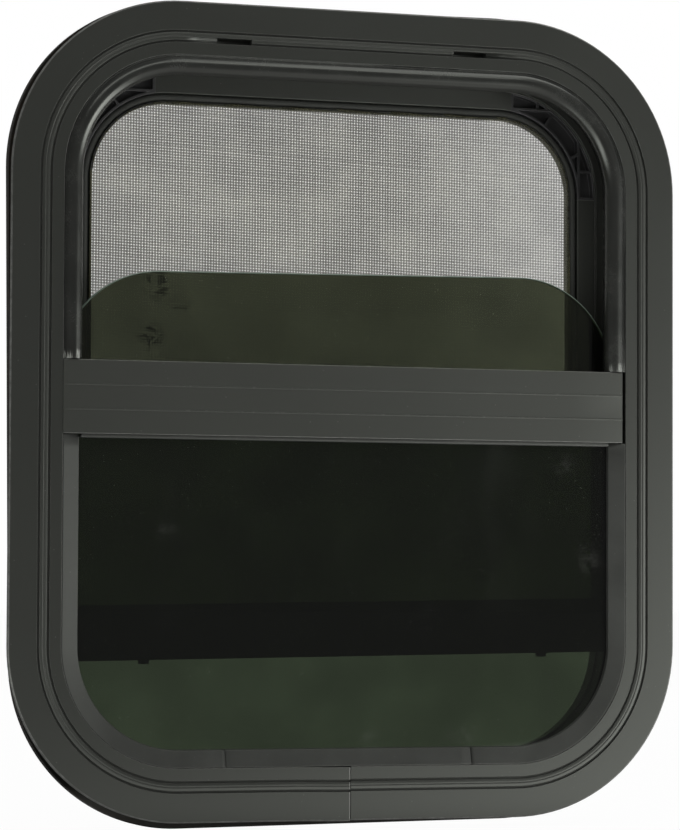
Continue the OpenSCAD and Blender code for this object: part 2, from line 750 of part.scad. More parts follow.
module clamp_screws() color([0.1, 0.1, 0.1]) stand() at_screws()
  translate([0, 0, ring_face - ring_t]) {
    translate([0, 0, -head_h]) cylinder(d1 = head_flat, d2 = head_d, h = head_h, $fn = 32);
    translate([0, 0, -eps]) cylinder(d = screw_d, h = screw_len, $fn = 24);
  }

outer_frame();
frame_joint_plate();
cross_rail();
rail_pile_strip();
upper_gasket();
glazing_strip_left();
glazing_strip_right();
glazing_strip_bottom();
glazing_tape();
fixed_glass();
sash_glass();
sash_rail();
sash_bumpers();
sash_latches();
run_channel_left();
run_channel_right();
screen_top_bar();
screen_left_bar();
screen_right_bar();
screen_bottom_bar();
screen_corner_top_left();
screen_corner_top_right();
screen_corner_bottom_left();
screen_corner_bottom_right();
screen_spline();
screen_mesh();
clamp_ring();
clamp_screws();
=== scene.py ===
# %% [markdown]
# # A radius-corner caravan window
#
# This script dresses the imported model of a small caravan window: a black bent frame, a fixed
# dark pane below, a sliding sash that has been let down behind it, an insect screen on the
# inside and a clamp ring that holds the whole window in the wall. The model gives every size
# and place. The cells below add what a model of plain solids lacks: rounded edges, rubber,
# woven threads, tinted glass and the finish of each surface.

# %% Load the frame
import math

import bmesh
import bpy
import numpy as np
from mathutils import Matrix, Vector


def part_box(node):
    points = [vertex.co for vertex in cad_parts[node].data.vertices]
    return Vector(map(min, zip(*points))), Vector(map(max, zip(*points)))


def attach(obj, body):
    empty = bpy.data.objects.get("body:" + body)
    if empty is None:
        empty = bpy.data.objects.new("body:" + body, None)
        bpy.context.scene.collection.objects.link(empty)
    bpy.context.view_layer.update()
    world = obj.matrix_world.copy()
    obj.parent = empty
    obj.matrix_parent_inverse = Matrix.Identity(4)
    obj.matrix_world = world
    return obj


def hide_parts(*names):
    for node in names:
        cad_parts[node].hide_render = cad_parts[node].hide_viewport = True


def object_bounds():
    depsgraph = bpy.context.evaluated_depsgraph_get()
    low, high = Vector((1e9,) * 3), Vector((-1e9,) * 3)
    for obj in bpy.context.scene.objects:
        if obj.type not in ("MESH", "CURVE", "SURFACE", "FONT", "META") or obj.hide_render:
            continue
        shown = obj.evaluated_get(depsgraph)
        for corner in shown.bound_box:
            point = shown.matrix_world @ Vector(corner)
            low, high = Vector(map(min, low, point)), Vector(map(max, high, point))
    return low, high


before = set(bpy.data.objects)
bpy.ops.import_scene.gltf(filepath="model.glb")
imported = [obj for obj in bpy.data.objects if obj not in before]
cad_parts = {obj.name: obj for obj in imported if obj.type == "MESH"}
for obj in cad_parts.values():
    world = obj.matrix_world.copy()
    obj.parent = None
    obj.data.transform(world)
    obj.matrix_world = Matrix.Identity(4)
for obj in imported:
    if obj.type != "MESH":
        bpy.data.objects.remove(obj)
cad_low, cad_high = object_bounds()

print("nodes:", len(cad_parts), "box:", [round(v * 1000, 1) for v in cad_high - cad_low])

# %% [markdown]
# ## The window's own plan
#
# Every piece of such a window follows one rounded rectangle, so it is easiest to think in the
# plan that a fitter would draw: x to the right, y up, both from the middle of the window, and z
# out towards the viewer with zero on the back of the flange. `place` turns points of that plan,
# in millimetres, into the scene's metres. The outline's size comes from the frame's own box.

# %% The plan and its sizes
MM = 0.001
frame_low, frame_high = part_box("outer_frame")
FRAME_W = (frame_high.x - frame_low.x) / MM
FRAME_H = (frame_high.z - frame_low.z) / MM
CORNER_R = 87.5
MIDDLE_Z = (frame_high.z + frame_low.z) / 2 / MM
FLANGE_T = -frame_low.y / MM


def place(points):
    """World metres of plan points in mm: (x, y, z) becomes (x, -z, y + the middle's height)."""
    points = np.asarray(points, float)
    moved = np.stack([points[..., 0], -points[..., 2], points[..., 1] + MIDDLE_Z], -1)
    return moved * MM


print("flange", round(FRAME_W, 1), "x", round(FRAME_H, 1), "mm, face", round(FLANGE_T, 2), "mm proud")

# %% [markdown]
# ## Outlines
#
# A bent extrusion is one section carried round a rounded rectangle. The outline is a formula of
# one number, here called the turn: from 0 to 4, each whole turn is one corner and the side that
# follows it. The same turn gives a point on the outline at any inset, so a section's point and a
# turn are the two parameters of every swept surface in this script.

# %% Points on a rounded rectangle
SIGNS = np.array([[1, 1], [-1, 1], [-1, -1], [1, -1]], float)


def outline(turn, inset, size, radii, middle=(0.0, 0.0)):
    """Points of a rounded rectangle at a turn and an inset, which broadcast together.

    In corner k, for turns from k to k + 1/2, the point is the corner's middle plus its radius
    times (cos a, sin a), and a grows by a quarter circle. From k + 1/2 to k + 1 it slides along
    the side to the next corner. An inset shrinks the radius, and the corner's middle stays.
    """
    turn, inset = np.broadcast_arrays(np.asarray(turn, float), np.asarray(inset, float))
    radii = np.broadcast_to(np.asarray(radii, float), (4,))
    half = np.array(size, float) / 2
    centres = SIGNS * (half - radii[:, None]) + np.array(middle)
    k = np.floor(turn).astype(int) % 4
    share = turn - np.floor(turn)
    slide = np.clip(2 * share - 1, 0, 1)[..., None]
    angle = (k + np.clip(2 * share, 0, 1)) * math.pi / 2
    arc_dir = np.stack([np.cos(angle), np.sin(angle)], -1)
    after = (k + 1) % 4
    here = centres[k] + (radii[k] - inset)[..., None] * arc_dir
    there = centres[after] + (radii[after] - inset)[..., None] * arc_dir
    return here * (1 - slide) + there * slide


def turns(start, end, arc=28, side=10):
    """Turns from start to end with `arc` steps in each corner and `side` steps along each side."""
    grid = np.concatenate([k + np.concatenate([np.linspace(0, 0.5, arc, endpoint=False),
                                               np.linspace(0.5, 1, side, endpoint=False)])
                           for k in range(int(start), int(math.ceil(end)))])
    inner = grid[(grid > start + 1e-6) & (grid < end - 1e-6)]
    return np.concatenate([[start], inner, [end]])


def side_turn(k, height):
    """The turn on side k, an upright side of the frame, at a height in the plan."""
    straight = FRAME_H / 2 - CORNER_R
    share = (straight + height) / (2 * straight)
    return k + 0.5 + 0.5 * (share if k % 4 == 3 else 1 - share)


print("outline length", round(2 * (FRAME_W + FRAME_H) - (8 - 2 * math.pi) * CORNER_R), "mm")

# %% [markdown]
# ## Sections with real edges
#
# No extruded or rolled edge is knife sharp, and the narrow band where an edge turns is what
# catches the light in a photograph of a black thing. `soften` rounds every corner of a section
# by its own radius. Rounding here, in two dimensions, costs far less than a Bevel modifier on
# the finished sweep and never fails on a tight groove. It also marks the rounded points, and
# that mark becomes a mesh attribute that the paint uses for wear.

# %% Softening a section
def soften(points, radius=0.25, steps=3):
    """A closed section with rounded corners, and a mark of 1 on each rounded outer corner.

    A corner between the unit directions u and v to its neighbours is replaced by the arc that
    touches both sides at a distance t, with t = radius / tan(half the corner's angle), limited
    to 45 percent of the shorter side. The arc's middle lies on the sum of u and v.
    """
    points = np.asarray(points, float)
    radius = np.broadcast_to(np.asarray(radius, float), (len(points),))
    to_last = np.roll(points, 1, 0) - points
    to_next = np.roll(points, -1, 0) - points
    last_len = np.linalg.norm(to_last, axis=1)
    next_len = np.linalg.norm(to_next, axis=1)
    u, v = to_last / last_len[:, None], to_next / next_len[:, None]
    half = np.arccos(np.clip((u * v).sum(1), -0.99999, 0.99999)) / 2
    reach = np.minimum(radius / np.tan(half), 0.45 * np.minimum(last_len, next_len))
    share = np.linspace(0, 1, steps + 1)[None, :, None]
    start, end = points + u * reach[:, None], points + v * reach[:, None]
    chord = start[:, None] * (1 - share) + end[:, None] * share
    middle = points + (u + v) / np.linalg.norm(u + v, axis=1)[:, None] * (reach / np.cos(half))[:, None]
    spoke = chord - middle[:, None]
    true_r = np.linalg.norm(start - middle, axis=1)[:, None, None]
    arc = middle[:, None] + spoke / np.linalg.norm(spoke, axis=2, keepdims=True) * true_r
    area = (points[:, 0] * np.roll(points[:, 1], -1) - np.roll(points[:, 0], -1) * points[:, 1]).sum()
    outer = np.sign(area) * (v[:, 0] * u[:, 1] - v[:, 1] * u[:, 0]) > 0.2
    mark = np.where(outer[:, None], np.sin(np.linspace(0, 1, steps + 1) * math.pi)[None], 0.0)
    return arc.reshape(-1, 2), mark.reshape(-1)


def round_bar(middle, radius, start_deg, end_deg, steps=20):
    """Points along an arc of a circle, for a section with a bulb."""
    a = np.radians(np.linspace(start_deg, end_deg, steps))
    return np.stack([middle[0] + radius * np.cos(a), middle[1] + radius * np.sin(a)], -1)


# %% [markdown]
# ## From arrays to meshes
#
# A grid of points becomes quads by pairing each row with the next. The helper below joins any
# number of grids in one object, closes the ends of open sweeps by filling between their edge
# loops, turns the faces outwards by the sign of the enclosed volume, and rides the object on
# the window's one body. Weighted normals keep the flats flat beside the small rounded edges.

# %% Mesh helpers
def grid_faces(rows, cols, close_rows, close_cols, first=0):
    """Corner numbers of the quads between neighbouring rows and columns of a grid."""
    i = np.arange(rows if close_rows else rows - 1)
    j = np.arange(cols if close_cols else cols - 1)
    a, b = np.meshgrid(i, j, indexing="ij")
    a2, b2 = (a + 1) % rows, (b + 1) % cols
    quads = np.stack([a * cols + b, a2 * cols + b, a2 * cols + b2, a * cols + b2], -1)
    return quads.reshape(-1, 4) + first


def mesh_object(name, points, faces, marks=None, materials=(), smooth=True, ends=()):
    """A mesh in the scene from plan points in mm. Each array in `ends` is one open end to fill."""
    mesh = bpy.data.meshes.new(name)
    points = place(np.asarray(points, float).reshape(-1, 3))
    mesh.from_pydata(points, [], [tuple(int(v) for v in f) for f in faces])
    if marks is not None:
        layer = mesh.attributes.new("edge", "FLOAT", "POINT")
        layer.data.foreach_set("value", np.asarray(marks, np.float32).reshape(-1))
    shape = bmesh.new()
    shape.from_mesh(mesh)
    rims = [e for e in shape.edges if e.is_boundary]
    for end in ends:
        own = set(int(v) for v in end)
        loop = [e for e in rims if e.verts[0].index in own and e.verts[1].index in own]
        bmesh.ops.triangle_fill(shape, use_beauty=True, use_dissolve=False, edges=loop)
    bmesh.ops.recalc_face_normals(shape, faces=shape.faces)
    if shape.calc_volume(signed=True) < 0:
        bmesh.ops.reverse_faces(shape, faces=shape.faces)
    shape.to_mesh(mesh)
    shape.free()
    mesh.polygons.foreach_set("use_smooth", np.full(len(mesh.polygons), smooth))
    for material in materials:
        mesh.materials.append(material)
    made = bpy.data.objects.new(name, mesh)
    bpy.context.scene.collection.objects.link(made)
    return made


def weighted(made):
    """Keeps the shading of large flats true beside small rounded edges."""
    keep = made.modifiers.new("weighted normals", "WEIGHTED_NORMAL")
    keep.weight = 80
    keep.keep_sharp = False
    return made


def sweep_points(section, path, size=(FRAME_W, FRAME_H), radii=CORNER_R):
    """Grid of plan points: row i is the section's point i, (inset, z), carried along the path."""
    section = np.asarray(section, float)
    flat = outline(path[None, :], section[:, :1], size, radii)
    depth = np.broadcast_to(section[:, 1:2], flat.shape[:2])
    return np.concatenate([flat, depth[..., None]], -1)


def turned(points, angle, height=0.0):
    """Plan points turned anticlockwise by an angle about (0, height)."""
    c, t = math.cos(angle), math.sin(angle)
    shift = np.array([0, height, 0])
    return (points - shift) @ np.array([[c, t, 0], [-t, c, 0], [0, 0, 1]]) + shift


def grids_object(name, grids, marks, closed):
    """One mesh of several grids whose rows are closed loops; open grids get filled ends."""
    cols = grids[0].shape[1]
    starts = np.cumsum([0] + [len(g) * cols for g in grids])
    faces = np.concatenate([grid_faces(len(g), cols, True, closed, start)
                            for g, start in zip(grids, starts)])
    every = np.arange(starts[-1]).reshape(-1, cols)
    ends = () if closed else (every[:, 0], every[:, -1])
    points = np.concatenate([g.reshape(-1, 3) for g in grids])
    marks = np.concatenate([np.repeat(m, cols) for m in marks])
    return mesh_object(name, points, faces, marks, ends=ends)


def sweep(name, sections, path, change):
    """Sections of (points, marks) carried along part of the frame's outline, and then changed."""
    grids = [change(sweep_points(points, path), path) for points, _ in sections]
    return grids_object(name, grids, [marks for _, marks in sections], False)


def extrude(name, section, marks, x0, x1):
    """A section of (y, z) carried straight along x."""
    x = np.linspace(x0, x1, 12)
    flat = np.repeat(np.asarray(section, float)[:, None], len(x), 1)
    across = np.broadcast_to(x[None, :, None], flat.shape[:2] + (1,))
    return grids_object(name, [np.concatenate([across, flat], -1)], [marks], False)


def fit(made, node, stands_in=True):
    """Rides a piece on the window's body, and hides the node it stands in for, if any."""
    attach(made, "root")
    if stands_in:
        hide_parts(node)
    print(made.name, len(made.data.polygons), "faces")


def dress(made, material, node, stands_in=True):
    """Gives a piece its one material and fits it to its node."""
    made.data.materials.clear()
    made.data.materials.append(material)
    fit(made, node, stands_in)


# %% [markdown]
# ## Camera
#
# The photograph was taken from the left and a little below the middle. Its view was fitted to
# the two decorative grooves, whose size is known, so the camera's place and lens are real
# measures and the render lines up with the photograph.

# %% Camera
scene = bpy.context.scene
camera_data = bpy.data.cameras.new("camera")
camera_data.lens = 154.03
camera_data.sensor_width = 36
camera_data.clip_start = 0.1
camera_data.clip_end = 60
camera = bpy.data.objects.new("camera", camera_data)
scene.collection.objects.link(camera)
camera.location = (-0.5842, -1.6939, 0.1114)
camera.rotation_euler = [math.radians(v) for v in (92.678, -0.249, -18.873)]
scene.camera = camera
scene.view_settings.view_transform = "Standard"
print("camera at", tuple(camera.location))

# %% [markdown]
# ## Shader maths as expressions
#
# A procedural finish is mostly arithmetic on noise, and arithmetic reads best as arithmetic.
# `Value` wraps one output socket of a shader node. Adding, multiplying or subtracting values
# adds a Math node and gives a new value, and a plain number works on either side. Every other
# node comes from `Nodes.node`, which sets the node's options first and its sockets after.

# %% Values, node trees and finishes
class Value:
    """One output socket of a node tree, with the arithmetic that the finishes use."""

    def __init__(self, nodes, socket):
        self.nodes, self.socket = nodes, socket

    def maths(self, operation, first, second):
        return self.nodes.node("ShaderNodeMath", {"operation": operation}, {0: first, 1: second})

    def __add__(self, other):
        return self.maths("ADD", self, other)

    def __radd__(self, other):
        return self.maths("ADD", other, self)

    def __sub__(self, other):
        return self.maths("SUBTRACT", self, other)

    def __rsub__(self, other):
        return self.maths("SUBTRACT", other, self)

    def __mul__(self, other):
        return self.maths("MULTIPLY", self, other)

    def __rmul__(self, other):
        return self.maths("MULTIPLY", other, self)

    def over(self, low, high, kind="SMOOTHSTEP", start=0.0, end=1.0):
        """`start` below low, `end` above high, and a smooth or linear step between them."""
        return self.nodes.node("ShaderNodeMapRange", {"interpolation_type": kind},
                               {"Value": self, "From Min": low, "From Max": high,
                                "To Min": start, "To Max": end})


class Nodes:
    """The node tree of a material or a world, to which one method adds every node."""

    def __init__(self, owner):
        owner.use_nodes = True
        self.tree = owner.node_tree

    def node(self, kind, settings=None, sockets=None, output=0):
        """Adds a node of that type, with its options set before its sockets."""
        made = self.tree.nodes.new(kind)
        for key, value in (settings or {}).items():
            setattr(made, key, value)
        for key, value in (sockets or {}).items():
            if isinstance(value, Value):
                self.tree.links.new(value.socket, made.inputs[key])
            else:
                made.inputs[key].default_value = value
        return Value(self, made.outputs[output])

    def show(self, shader):
        """Makes a shader the one that the surface or the world shows."""
        kinds = ("ShaderNodeOutputMaterial", "ShaderNodeOutputWorld")
        ends = [node for node in self.tree.nodes if node.bl_idname in kinds]
        self.tree.links.new(shader.socket, ends[0].inputs["Surface"])

    def here(self, kind="Object"):
        """The point on the object, in metres, or with "Generated" the direction in the world."""
        return self.node("ShaderNodeTexCoord", output=kind)

    def along(self, axis, kind="Object"):
        """One coordinate of that point."""
        return self.node("ShaderNodeSeparateXYZ", {}, {0: self.here(kind)}, axis)

    def vector(self, operation, other):
        """The number that a vector operation gives for the point on the object and another."""
        return self.node("ShaderNodeVectorMath", {"operation": operation},
                         {0: self.here(), 1: other}, "Value")

    def ray(self, *kinds):
        """1 for a ray of any of the kinds, such as Camera or Glossy, and 0 for others."""
        seen = 0.0
        for kind in kinds:
            this = self.node("ShaderNodeLightPath", output="Is " + kind + " Ray")
            seen = this.maths("MAXIMUM", this, seen)
        return seen

    def between(self, factor, first, second):
        """A number between two numbers."""
        return self.node("ShaderNodeMix", {}, {0: factor, 2: first, 3: second})


class Finish(Nodes):
    """A node material on the Principled shader, built by expressions on Values."""

    def __init__(self, name, **sockets):
        self.material = bpy.data.materials.new(name)
        super().__init__(self.material)
        self.shader = self.tree.nodes["Principled BSDF"]
        for key, value in sockets.items():
            self.shader.inputs[key.replace("_", " ")].default_value = value

    def place(self, stretch=(1, 1, 1), turn=(0, 0, 0)):
        """The point on the object, in metres, stretched and turned."""
        return self.node("ShaderNodeMapping", {}, {0: self.here(), "Scale": stretch, "Rotation": turn})

    def noise(self, per_metre, detail=2.0, rough=0.5, at=None):
        """Noise from 0 to 1 with that many features in a metre."""
        return self.node("ShaderNodeTexNoise", {}, {"Vector": at or self.place(), "Scale": per_metre,
                                                    "Detail": detail, "Roughness": rough})

    def specks(self, per_metre, size):
        """Small round spots: 1 inside the given share of a cell, on about half of the cells."""
        cell = self.node("ShaderNodeTexVoronoi", {}, {"Vector": self.place(), "Scale": per_metre})
        pick = self.noise(per_metre * 0.37, 1.0)
        return (1 - cell.over(size * 0.5, size)) * pick.over(0.56, 0.6)

    def spot(self, at, inner, outer):
        """1 within `inner` metres of a place on the object, falling to 0 at `outer` metres."""
        return 1 - self.vector("DISTANCE", at).over(inner, outer)

    def blend(self, factor, first, second):
        """A colour between two colours."""
        first, second = [c if isinstance(c, Value) else (*c, 1) for c in (first, second)]
        return self.node("ShaderNodeMix", {"data_type": "RGBA"}, {0: factor, 6: first, 7: second}, 2)

    def mark(self):
        """The number that the mesh carries on its points."""
        return self.node("ShaderNodeAttribute", {"attribute_name": "edge"}, {}, "Fac")

    def feed(self, socket, value):
        self.tree.links.new(value.socket, self.shader.inputs[socket])

    def matt_where(self, factor, colour):
        """Lays a matt layer of a colour over the Principled shader, as dense as the factor."""
        matt = self.node("ShaderNodeBsdfDiffuse", {}, {"Color": (*colour, 1)})
        under = Value(self, self.shader.outputs[0])
        self.show(self.node("ShaderNodeMixShader", {}, {0: factor, 1: under, 2: matt}))

    def bump(self, height, millimetres, strength=1.0, under=None):
        """A normal that follows a height, on top of another normal if one is given."""
        sockets = {"Height": height, "Distance": millimetres * MM, "Strength": strength}
        if under is not None:
            sockets["Normal"] = under
        return self.node("ShaderNodeBump", {}, sockets)


print("shader helpers ready")

# %% [markdown]
# ## Light
#
# The photograph shows the window before white, in a soft studio: the black paint is darkest at
# the upper left, and grows lighter down the right side and along the bottom, where it mirrors
# large lamps and the white floor. So the world is white behind the window and dim in front of
# it, as a studio with a white backdrop is, and five soft lamps light its faces. The floor is a
# bright ramp with one brighter patch, seen in reflections only. What the camera and the glass
# look through to is plain white.

# %% World, floor and lamps
FRONT_LEVEL, PLAIN_LEVEL = 0.085, 0.46
FLOOR_REACH, FLOOR_LEVEL, WALL_SHADE, PATCH_LEVEL, PATCH_AT = 12, 5.6, 0.15, 5.5, (-0.62, -0.42)
FLOOR_GLOW = 0.97


def make_world():
    """White for camera and glass; white behind and dim in front for gloss; plain for the rest."""
    world = bpy.data.worlds.new("studio")
    sky = Nodes(world)
    behind = sky.along("Y", "Generated").over(-0.25, 0.35, "LINEAR", FRONT_LEVEL, 1.0)
    level = sky.between(sky.ray("Glossy"), PLAIN_LEVEL, behind)
    level = sky.between(sky.ray("Camera", "Transmission"), level, 1.0)
    sky.show(sky.node("ShaderNodeBackground", {}, {"Color": (1, 1, 1, 1), "Strength": level}))
    return world


def make_lamp(name, place_at, aim, size, level):
    """A soft square lamp whose face has the radiance `level`."""
    data = bpy.data.lights.new(name, "AREA")
    data.shape, data.size, data.size_y = "RECTANGLE", size[0], size[1]
    data.energy = level * math.pi * size[0] * size[1]
    lamp = bpy.data.objects.new(name, data)
    lamp.visible_camera = False
    scene.collection.objects.link(lamp)
    lamp.location = place_at
    away = np.array(place_at) - np.array(aim)
    flat = math.hypot(away[0], away[1])
    lamp.rotation_euler = (math.atan2(flat, away[2]), 0, math.atan2(away[0], -away[1]))
    return lamp


def make_floor(height):
    """A wide pale floor that the camera sees as white, with a faint shadow left on it.

    In reflections it glows, brighter to the right and the back; it is darkened close to the window's
    own plane as a painted shadow of the window, and has one bright patch at the front left, a glow
    that stands in for a lamp.
    """
    mesh = bpy.data.meshes.new("floor")
    corners = [(a * FLOOR_REACH, b * FLOOR_REACH, height) for a, b in ((-1, -1), (1, -1), (1, 1), (-1, 1))]
    mesh.from_pydata(corners, [], [(0, 1, 2, 3)])
    floor = bpy.data.objects.new("floor", mesh)
    scene.collection.objects.link(floor)
    paint = bpy.data.materials.new("floor")
    look = Nodes(paint)
    ramp = look.vector("DOT_PRODUCT", (6.0, 6.0, 0)).over(-2.7, 1.6, "LINEAR", FRONT_LEVEL, FLOOR_LEVEL)
    # Darker close to the window's plane: a painted shadow of the window on the floor's glow.
    near = look.along("Y").over(-0.05, -0.01, "LINEAR", 1.0, WALL_SHADE)
    # A bright glowing patch at the front left, standing in for a lamp: painted light.
    patch = look.vector("DISTANCE", (*PATCH_AT, height)).over(0.25, 0.55, "LINEAR", PATCH_LEVEL, 0.0)
    level = look.between(look.ray("Camera", "Transmission"), ramp * near + patch, 1.0)
    matt = look.node("ShaderNodeBsdfDiffuse", {}, {"Color": (0.8, 0.8, 0.8, 1)})
    glow = look.node("ShaderNodeEmission", {}, {"Strength": level})
    share = look.ray("Camera", "Transmission", "Glossy") * FLOOR_GLOW
    look.show(look.node("ShaderNodeMixShader", {}, {0: share, 1: matt, 2: glow}))
    mesh.materials.append(paint)
    return floor


scene.world = make_world()
floor_z = cad_low.z - 0.0005
make_floor(floor_z)
middle = (0, 0, MIDDLE_Z * MM)
make_lamp("low key lamp", (0.78, -0.72, 0.10), (0.1, 0, 0.08), (0.42, 0.22), 5.8)
make_lamp("low right lamp", (0.53, -0.40, 0.11), (0.12, 0, 0.03), (0.24, 0.18), 0.9)
make_lamp("upper lamp", (0.0, -1.15, 1.35), middle, (1.5, 0.35), 3.0)
make_lamp("overhead lamp", (0.35, -0.20, 0.95), (0.1, 0, 0.2), (0.7, 0.3), 2.4)
make_lamp("back lamp", (0.8, 1.9, 1.1), middle, (1.2, 1.2), 1.5)
print("floor at", round(floor_z * 1000, 1), "mm")

# %% [markdown]
# ## Satin black paint
#
# The frame, the rails and the ring are aluminium with a satin black powder coat. Baked powder
# has a fine orange-peel skin, a slight cloudiness, a little dust, and thin spots along the
# edges where it wears to a paler grey. The edge mark from `soften` says where those edges are;
# on the flange's rim a higher mark makes a pale line that is wear and a painted highlight. A mark
# below zero says that a point lies at the bottom of a groove or in the bead's hollow, where the
# paint is made darker and rougher as painted shade. A mark of -2 is the flange's outer side,
# which is darkened and, high on the window, made matt, also as painted shade.

# %% Paint
COOL_TINT = (0.955, 1.0, 0.905, 1)


def powder_coat(name, grey=0.02, rough=0.42, wear=0.5, gloss=0.5, rust=0.0, chips=()):
    """Black paint: orange-peel bump, cloudy tone, worn edges, painted shade where the mark is below zero, and
    a little dust.

    With `rust` the paint also has brown patches, and turns a paler grey where it is lowest. Each entry
    of `chips` is a place, a radius in metres and the colour of what shows or sticks there.
    """
    made = Finish(name, Roughness=rough, Specular_IOR_Level=gloss, Specular_Tint=COOL_TINT)
    cloud = made.noise(9, 2.0, 0.5)
    rub = made.noise(320, 4.0, 0.65)
    edge = (made.mark() + rub * 0.9 - 0.95).over(0, 0.55, "LINEAR")
    deep = (0 - made.mark()).over(0, 1, "LINEAR")
    dust = made.specks(260, 0.10)
    dark, pale = grey * 0.9, grey * 1.12
    base = made.blend(cloud, (dark, dark * 1.04, dark * 0.92), (pale, pale * 1.05, pale * 0.92))
    if rust:
        base = made.blend(made.noise(45, 5.0, 0.65).over(0.42, 0.68) * rust, base, (0.026, 0.019, 0.014))
        # Paler grey towards the lowest part of the piece.
        low = 1 - made.along("Z").over(-0.001, 0.011)
        base = made.blend(low * (made.noise(120, 4.0, 0.6) * 0.5 + 0.5), base, (0.13, 0.125, 0.115))
    worn = made.blend(edge * wear, base, (0.20, 0.20, 0.19))
    # Near-black paint where the mark is below zero, on groove floors and in the bead's hollow: painted shade.
    worn_and_groove_shaded = made.blend(deep * 0.8, worn, (0.010, 0.010, 0.009))
    for at, size, colour in chips:
        ragged = made.spot(at, size * 0.4, size) * made.noise(1400, 4.0, 0.7).over(0.42, 0.5)
        worn_and_groove_shaded = made.blend(ragged, worn_and_groove_shaded, colour)
    made.feed("Base Color", made.blend(dust * 0.35, worn_and_groove_shaded, (0.16, 0.16, 0.15)))
    made.feed("Roughness", (cloud - 0.5) * 0.05 + (rub - 0.5) * 0.03 + rough + deep * 0.35 - edge * 0.05)
    skin = made.bump(made.noise(700, 2.0, 0.5), 0.02, 0.2)
    made.feed("Normal", made.bump(made.noise(5200, 2.0, 0.6), 0.01, 0.25, skin))
    # A matt dark layer over the flange's outer side, high on the window, where the mark is -2: painted shade.
    painted_side_shade = (-1 - made.mark()).over(0.2, 0.8) * made.along("Z").over(0.09, 0.17)
    made.matt_where(painted_side_shade, (0.020, 0.0165, 0.0155))
    return made.material


FRAME_CHIPS = (((-0.1266, -0.0032, 0.3522), 0.0030, (0.17, 0.085, 0.045)),
               ((-0.1235, -0.0032, 0.3483), 0.0034, (0.20, 0.11, 0.06)),
               ((0.0944, -0.0032, 0.3723), 0.0012, (0.55, 0.55, 0.53)))
frame_paint = powder_coat("satin black frame paint", 0.022, 0.40, 0.75, chips=FRAME_CHIPS)
rail_paint = powder_coat("satin black rail paint", 0.030, 0.44, 0.9)
sash_paint = powder_coat("satin black sash paint", 0.024, 0.42)
screen_paint = powder_coat("satin black screen paint", 0.029, 0.46, 0.9)
# The ring's paint is far darker than the frame's same coat because the ring lies in the flange's shade:
# painted shade.
shaded_ring_paint = powder_coat("black ring paint darkened as painted shade", 0.010, 0.70, 0.15, 0.05, 0.8)

# %% [markdown]
# ## Rubber, plastic, flock and bare metal
#
# Extruded rubber shows faint lines along its length, which these finishes leave out. Rubber is
# smoother than the paint and mirrors the lamps as soft bright bands.

# %% Other opaque finishes
def rubber(name, grey=0.016, rough=0.34, bloom=0.25, gloss=0.5, chips=()):
    """Black rubber: soft gloss, a cloudy bloom, fine pores and crumbs stuck at a few places.

    Where the mesh's mark is 1, high on the window, a matt layer hides the rubber's gloss as painted shade.
    """
    made = Finish(name, Roughness=rough, Specular_IOR_Level=gloss, Specular_Tint=COOL_TINT)
    cloud = made.noise(38, 4.0, 0.6)
    pores = made.noise(2600, 2.0, 0.5)
    lint = made.specks(420, 0.10)
    base = made.blend(cloud.over(0.35, 0.75) * bloom, (grey, grey * 1.03, grey * 0.95),
                      (0.06, 0.062, 0.057))
    for at, size, colour in chips:
        base = made.blend(made.spot(at, size * 0.5, size), base, colour)
    made.feed("Base Color", made.blend(lint * 0.4, base, (0.25, 0.25, 0.24)))
    made.feed("Roughness", (cloud - 0.5) * 0.22 + (pores - 0.5) * 0.08 + rough)
    made.feed("Normal", made.bump(pores, 0.01, 0.35, made.bump(made.noise(150, 2.0), 0.05, 0.3)))
    # On the top run, where the mark is 1, a matt layer hides the rubber's gloss: painted shade.
    under = made.mark() * made.along("Z").over(0.350, 0.362) * 0.85
    made.matt_where(under, (0.050, 0.051, 0.047))
    return made.material


def grained(name, grain, low, high, bump, spread=0.0, cloud=None, stretch=(1, 1, 1), **sockets):
    """A finish with one grain, which its colour, its height and its gloss follow.

    `grain` and `cloud` are the numbers of a noise. The colour runs from low to high with the
    cloud, or with the grain where there is none, and `spread` is the range of the roughness.
    """
    made = Finish(name, **sockets)
    fine = made.noise(*grain, made.place(stretch))
    made.feed("Base Color", made.blend(made.noise(*cloud) if cloud else fine, low, high))
    if spread:
        made.feed("Roughness", (fine - 0.5) * spread + sockets["Roughness"])
    made.feed("Normal", made.bump(fine, *bump))
    return made.material


def moulded(name, grey, rough):
    """Black moulded plastic with a fine spark texture."""
    return grained(name, (3800, 2.0, 0.7), (grey * 0.8,) * 3, (grey * 1.5,) * 3, (0.03, 0.5), 0.2,
                   (60, 3.0), Roughness=rough, Specular_IOR_Level=0.5)


def flock(name, grey):
    """Short black pile: matt, dusty and uneven."""
    return grained(name, (5200, 3.0, 0.7), (grey * 0.5,) * 3, (grey * 2.2,) * 3, (0.2, 0.8),
                   stretch=(1, 1, 0.25), Roughness=0.95, Specular_IOR_Level=0.2, Sheen_Weight=0.3,
                   Sheen_Roughness=0.4)


def black_steel(name):
    """Blackened steel with bright wear on the edges of the recess and the rim."""
    made = Finish(name, Roughness=0.38, Metallic=0.85)
    scuff = made.noise(900, 4.0, 0.65)
    edge = made.mark() * scuff.over(0.4, 0.7)
    made.feed("Base Color", made.blend(edge * 0.8, (0.035, 0.036, 0.038), (0.3, 0.3, 0.3)))
    made.feed("Roughness", (scuff - 0.5) * 0.3 + 0.38)
    made.feed("Normal", made.bump(scuff, 0.02, 0.4))
    return made.material


